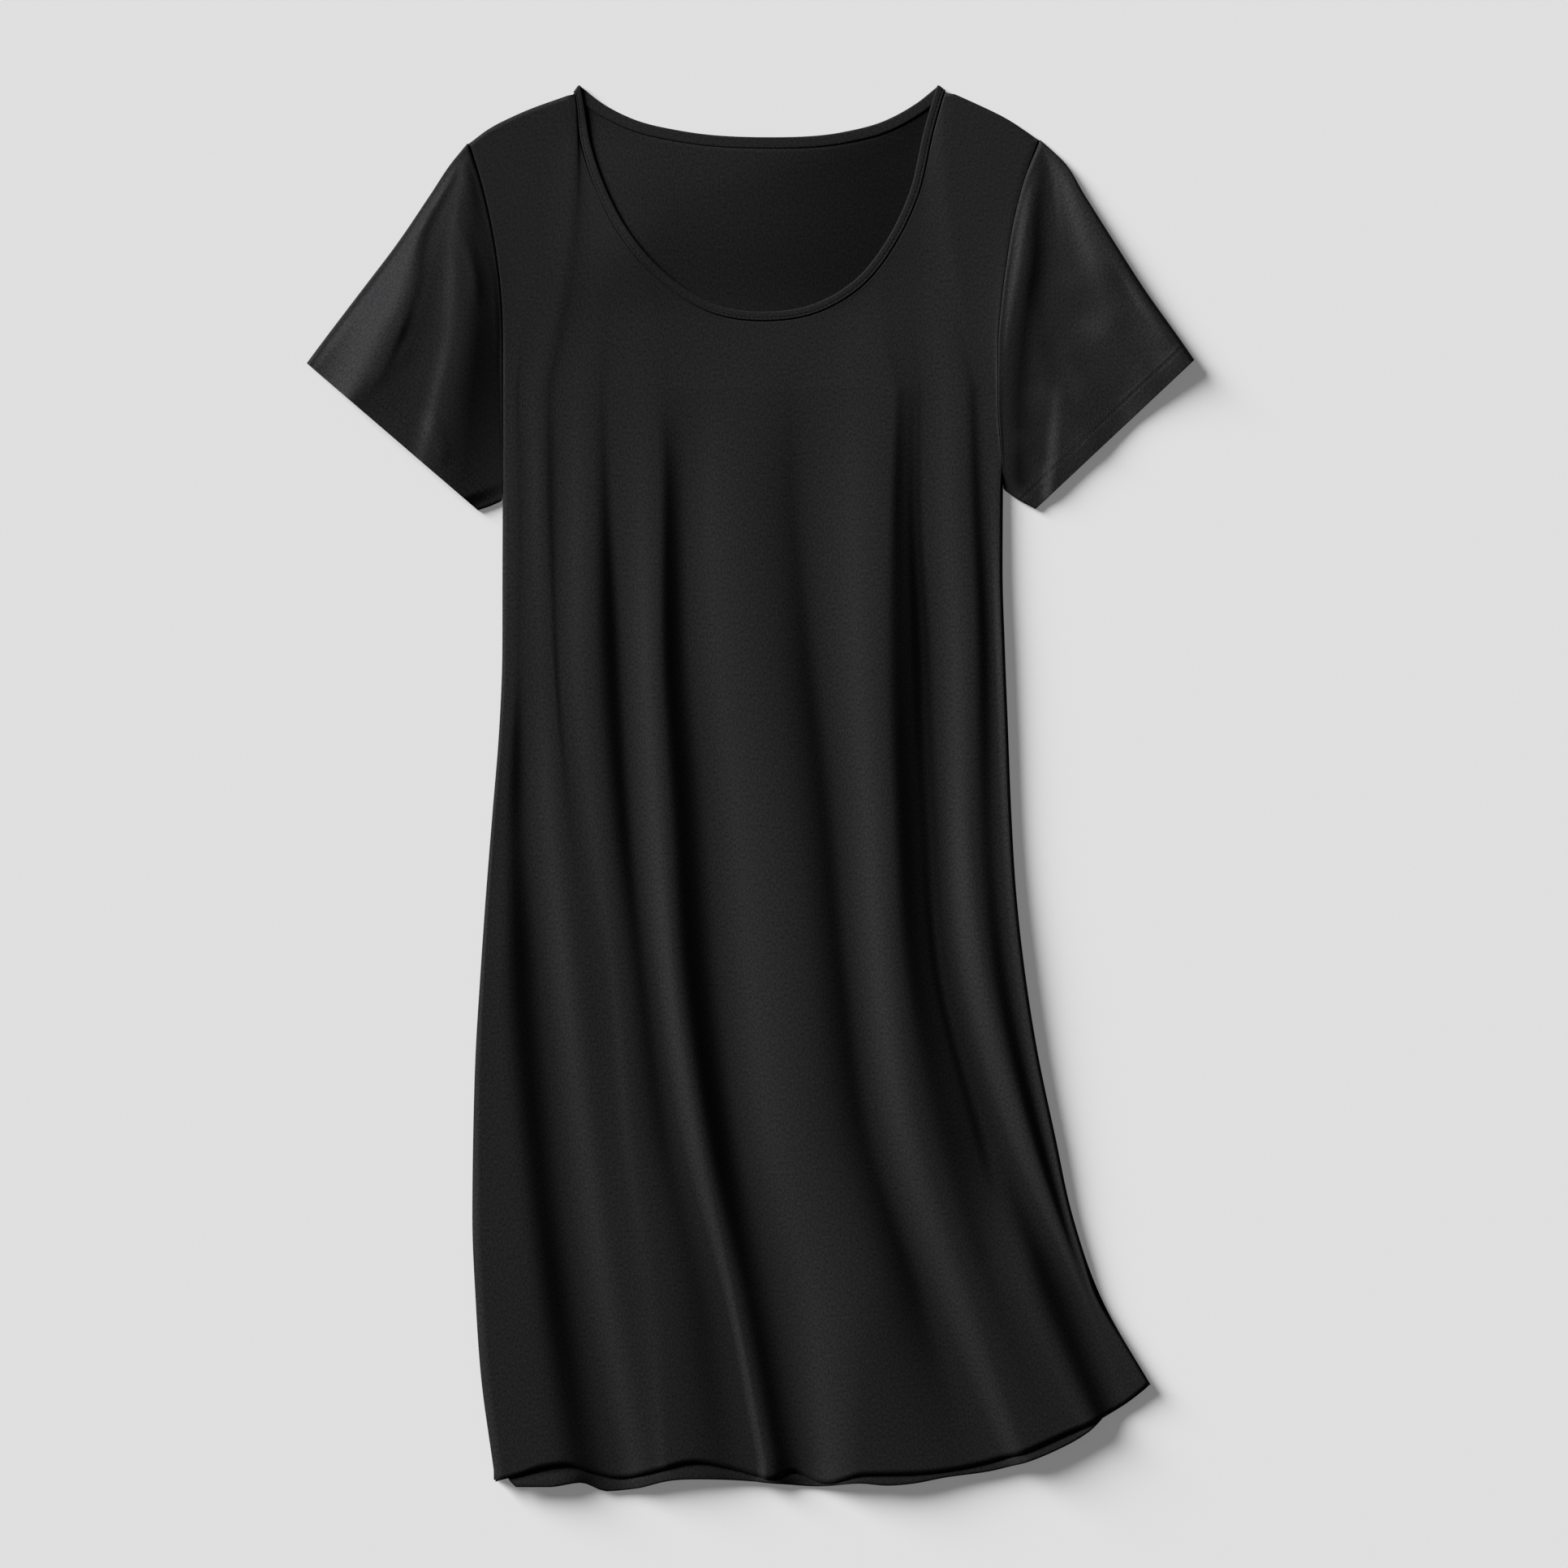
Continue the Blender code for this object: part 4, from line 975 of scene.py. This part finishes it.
def back_shade(x, y):
    """How light the back is drawn: darker overall, with painted shade to the wearer's left above the
    armpits.
    """
    left = ease((x - BACK_PAINTED_SHADE_FROM) / BACK_PAINTED_SHADE_REACH)
    left = left * ease((y - ARMPIT_Y["left"]) / BACK_PAINTED_SHADE_REACH)
    return BACK_PAINTED_SHADE[0] + (BACK_PAINTED_SHADE[1] - BACK_PAINTED_SHADE[0]) * left


def add_piece(name, points, faces, look):
    """A smooth mesh of points and faces as an object of the scene."""
    mesh = bpy.data.meshes.new(name)
    mesh.from_pydata(points.reshape(-1, 3) * MM, [], faces)
    mesh.materials.append(look)
    mesh.shade_smooth()
    mesh.update()
    piece = bpy.data.objects.new(name, mesh)
    bpy.context.scene.collection.objects.link(piece)
    return piece


def shell(name, points, look, closed=(False, False), thickness=CLOTH, pale=0.0, shade=1.0):
    """A cloth shell whose outer surface runs through a grid of points, its wall inside.

    `closed` says whether the rows and the columns close into rings. The UV map "cut" measures
    the cloth in metres.
    """
    faces = grid_faces(*points.shape[:2], *closed)
    piece = add_piece(name, points, faces, look)
    cut = np.stack([run_lengths(points, 1), run_lengths(points, 0)], -1).reshape(-1, 2) * MM
    layer = piece.data.uv_layers.new(name="cut")
    layer.data.foreach_set("uv", cut[faces.reshape(-1)].reshape(-1).astype(np.float32))
    # The attribute nap: painted shade and painted highlight from the slope to the key light, times shade
    nap = piece.data.attributes.new("nap", "FLOAT", "POINT")
    nap.data.foreach_set("value", (shade * painted_slope_light(points, pale)).reshape(-1).astype(np.float32))
    wall = piece.modifiers.new("cloth", "SOLIDIFY")
    wall.thickness = thickness * MM
    wall.offset = -1.0
    wall.use_even_offset = False
    return piece


# Stitches of sewing thread: each a six-sided bar, pinched at its ends
STITCH_LENGTH = 2.1
STITCH_STEP = 3.0
THREAD = 0.32
THREAD_LIFT = 0.04  # off the cloth
STITCH_SIDES = 6
STITCH_FORM = table("along girth", "-1 0.35, -0.6 1, 0.6 1, 1 0.35")
STITCHED = (0.02, 0.98)  # of a line's length, from first to last stitch
AHEAD = 0.5  # how far ahead a stitch's direction is taken
BAND_STITCH = 1.95  # how far in from its seam edge the binding is stitched, in its groove


def stitch_rings(places, ways):
    """The rings of points of level stitches at some places, each with its direction."""
    side = unit(np.cross(UP, ways))
    along = STITCH_FORM["along"] * STITCH_LENGTH / 2
    girth = STITCH_FORM["girth"] * THREAD / 2
    turn = np.radians(np.arange(STITCH_SIDES) * 360.0 / STITCH_SIDES)[:, None]
    ring = np.cos(turn) * side[:, None] + np.sin(turn) * UP
    return (
        places[:, None, None]
        + along[:, None, None] * ways[:, None, None]
        + girth[:, None, None] * ring[:, None]
    )


def stitches(name, lines, look):
    """One mesh of all stitches along some lines of points, a little above the cloth."""
    rings = []
    for line in lines:
        length = run_of(line)
        at = np.arange(STITCHED[0] * length[-1], STITCHED[1] * length[-1], STITCH_STEP)
        places, ahead = places_on(line, length, at), places_on(line, length, at + AHEAD)
        rings.append(stitch_rings(places + THREAD_LIFT * UP, unit(ahead - places)))
    rings = np.concatenate(rings)
    points = len(STITCH_FORM) * STITCH_SIDES
    tube = grid_faces(len(STITCH_FORM), STITCH_SIDES, False, True)
    cap = np.array([[0, 1, 2, 3], [0, 3, 4, 5]])
    stitch = np.concatenate([tube, STITCH_SIDES - 1 - cap, points - STITCH_SIDES + cap])
    faces = (stitch + points * np.arange(len(rings))[:, None, None]).reshape(-1, 4)
    return add_piece(name, rings, faces, look)


def cuff_lines(points):
    """The twin stitch lines on top of a sleeve, at their distances in from the cuff."""
    first = SLEEVE_UNDER_COLUMNS + 1 + len(BEND_ANGLES)
    upper = points[:, first : first + SLEEVE_TOP_COLUMNS + 1]
    inward = np.linalg.norm(upper[..., :2] - upper[-1:, :, :2], axis=-1)
    rows = [np.argmin(abs(inward - depth), axis=0) for depth in HEM_LINES]
    return [upper[row, np.arange(upper.shape[1])] for row in rows]


def band_line(strip):
    """The stitch line in the groove on the binding's upper side, along the scoop."""
    groove = np.argmax((STRIP["across"] == BAND_STITCH) & (STRIP["up"] > 0))
    return strip[:FRONT_BAND_STATIONS, groove]


def dress(piece, slot_name, *nodes):
    """The piece rides on the one body and stands for its CAD nodes."""
    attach(piece, "root")
    if nodes:
        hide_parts(*nodes)
    return piece


# Studio, in metres and degrees: a top view of a pale floor, with soft light from the upper left
CAMERA_AT = (0.0232, 0.0028, 2.555)
LENS = 85.0
FLOOR_SIZE = 60.0
FLOOR_DROP = 0.0002  # below what lies on it
FLOOR_COLOUR = "#cdcdcd"
# The floor glows of its own: painted light that lifts the shadows cast on it
FLOOR_GLOW = 0.17
KEY_ELEVATION = 20.0
KEY_TURN = 35.0  # of the light's direction from -X towards +Y
KEY_STRENGTH = 8.2
KEY_SPREAD = 28.0
FILL_STRENGTH = 0.04
WHITE = (1.0, 1.0, 1.0, 1.0)


def studio():
    """The floor, the key light, the even fill and the camera above."""
    bpy.ops.mesh.primitive_plane_add(size=FLOOR_SIZE, location=(0.0, 0.0, -FLOOR_DROP))
    floor = bpy.context.object
    floor.name = "pale_floor"
    paper = material(
        "matt pale paper",
        Base_Color=linear(FLOOR_COLOUR),
        Roughness=0.95,
        Specular_IOR_Level=0.1,
        Emission_Color=WHITE,
        Emission_Strength=FLOOR_GLOW,
    )
    floor.data.materials.append(paper)

    light = bpy.data.lights.new("key", "SUN")
    light.energy = KEY_STRENGTH
    light.angle = np.radians(KEY_SPREAD)
    key = bpy.data.objects.new("key", light)
    key.rotation_euler = (0.0, -np.radians(90.0 - KEY_ELEVATION), -np.radians(KEY_TURN))
    bpy.context.scene.collection.objects.link(key)

    world = bpy.data.worlds.new("even fill")
    world.use_nodes = True
    sky = world.node_tree.nodes["Background"]
    sky.inputs["Color"].default_value = WHITE
    sky.inputs["Strength"].default_value = FILL_STRENGTH
    bpy.context.scene.world = world

    lens = bpy.data.cameras.new("above")
    lens.lens = LENS
    lens.sensor_width = 36.0
    camera = bpy.data.objects.new("above", lens)
    camera.location = CAMERA_AT
    bpy.context.scene.collection.objects.link(camera)
    bpy.context.scene.camera = camera
    bpy.context.scene.view_settings.view_transform = "Standard"


def main():
    """The studio and the dressed pieces."""
    studio()
    jersey = brushed_jersey("black brushed viscose jersey", roughness=0.62, nap_mm=1.3)
    rib = brushed_jersey("black jersey binding", roughness=0.66, nap_mm=1.1)
    over, under = front_surface(), back_surface()[:, ::-1]
    # Painted shade towards the hem, in the front's nap attribute
    shade = front_shade(over[..., 0], over[..., 1])
    front = dress(shell("front_shell", over, jersey, shade=shade), "jersey", "front_panel")
    # Painted shade on the back, deepest to the wearer's left above the armpits
    shade = back_shade(under[..., 0], under[..., 1])
    back = dress(shell("back_shell", under, jersey, shade=shade), "jersey", "back_panel")
    tubes = {side: sleeve_surface(side) for side in ("left", "right")}
    for side, points in tubes.items():
        points = points[:, :: OUTWARD[side]]
        # The sleeves carry a painted highlight where they rise towards the key light
        piece = shell(f"sleeve_{side}_shell", points, jersey, (False, True), pale=SLEEVE_PAINTED_HIGHLIGHT)
        dress(piece, "jersey", f"sleeve_{side}")
    strip = binding_surface()
    band = shell("neck_band", strip[:, ::-1], rib, (True, False), BINDING_CLOTH)
    dress(band, "binding", "neck_binding")
    # Polyester thread, dyed to match: smooth, so each stitch has a small dull glint
    sewing = material(
        "black polyester sewing thread",
        Base_Color=linear("#161618"),
        Roughness=0.5,
        Specular_IOR_Level=0.25,
    )
    for side, points in tubes.items():
        dress(stitches(f"sleeve_{side}_hem_stitches", cuff_lines(points), sewing), "jersey")
    dress(stitches("neck_band_stitches", [band_line(strip)], sewing), "binding")


main()
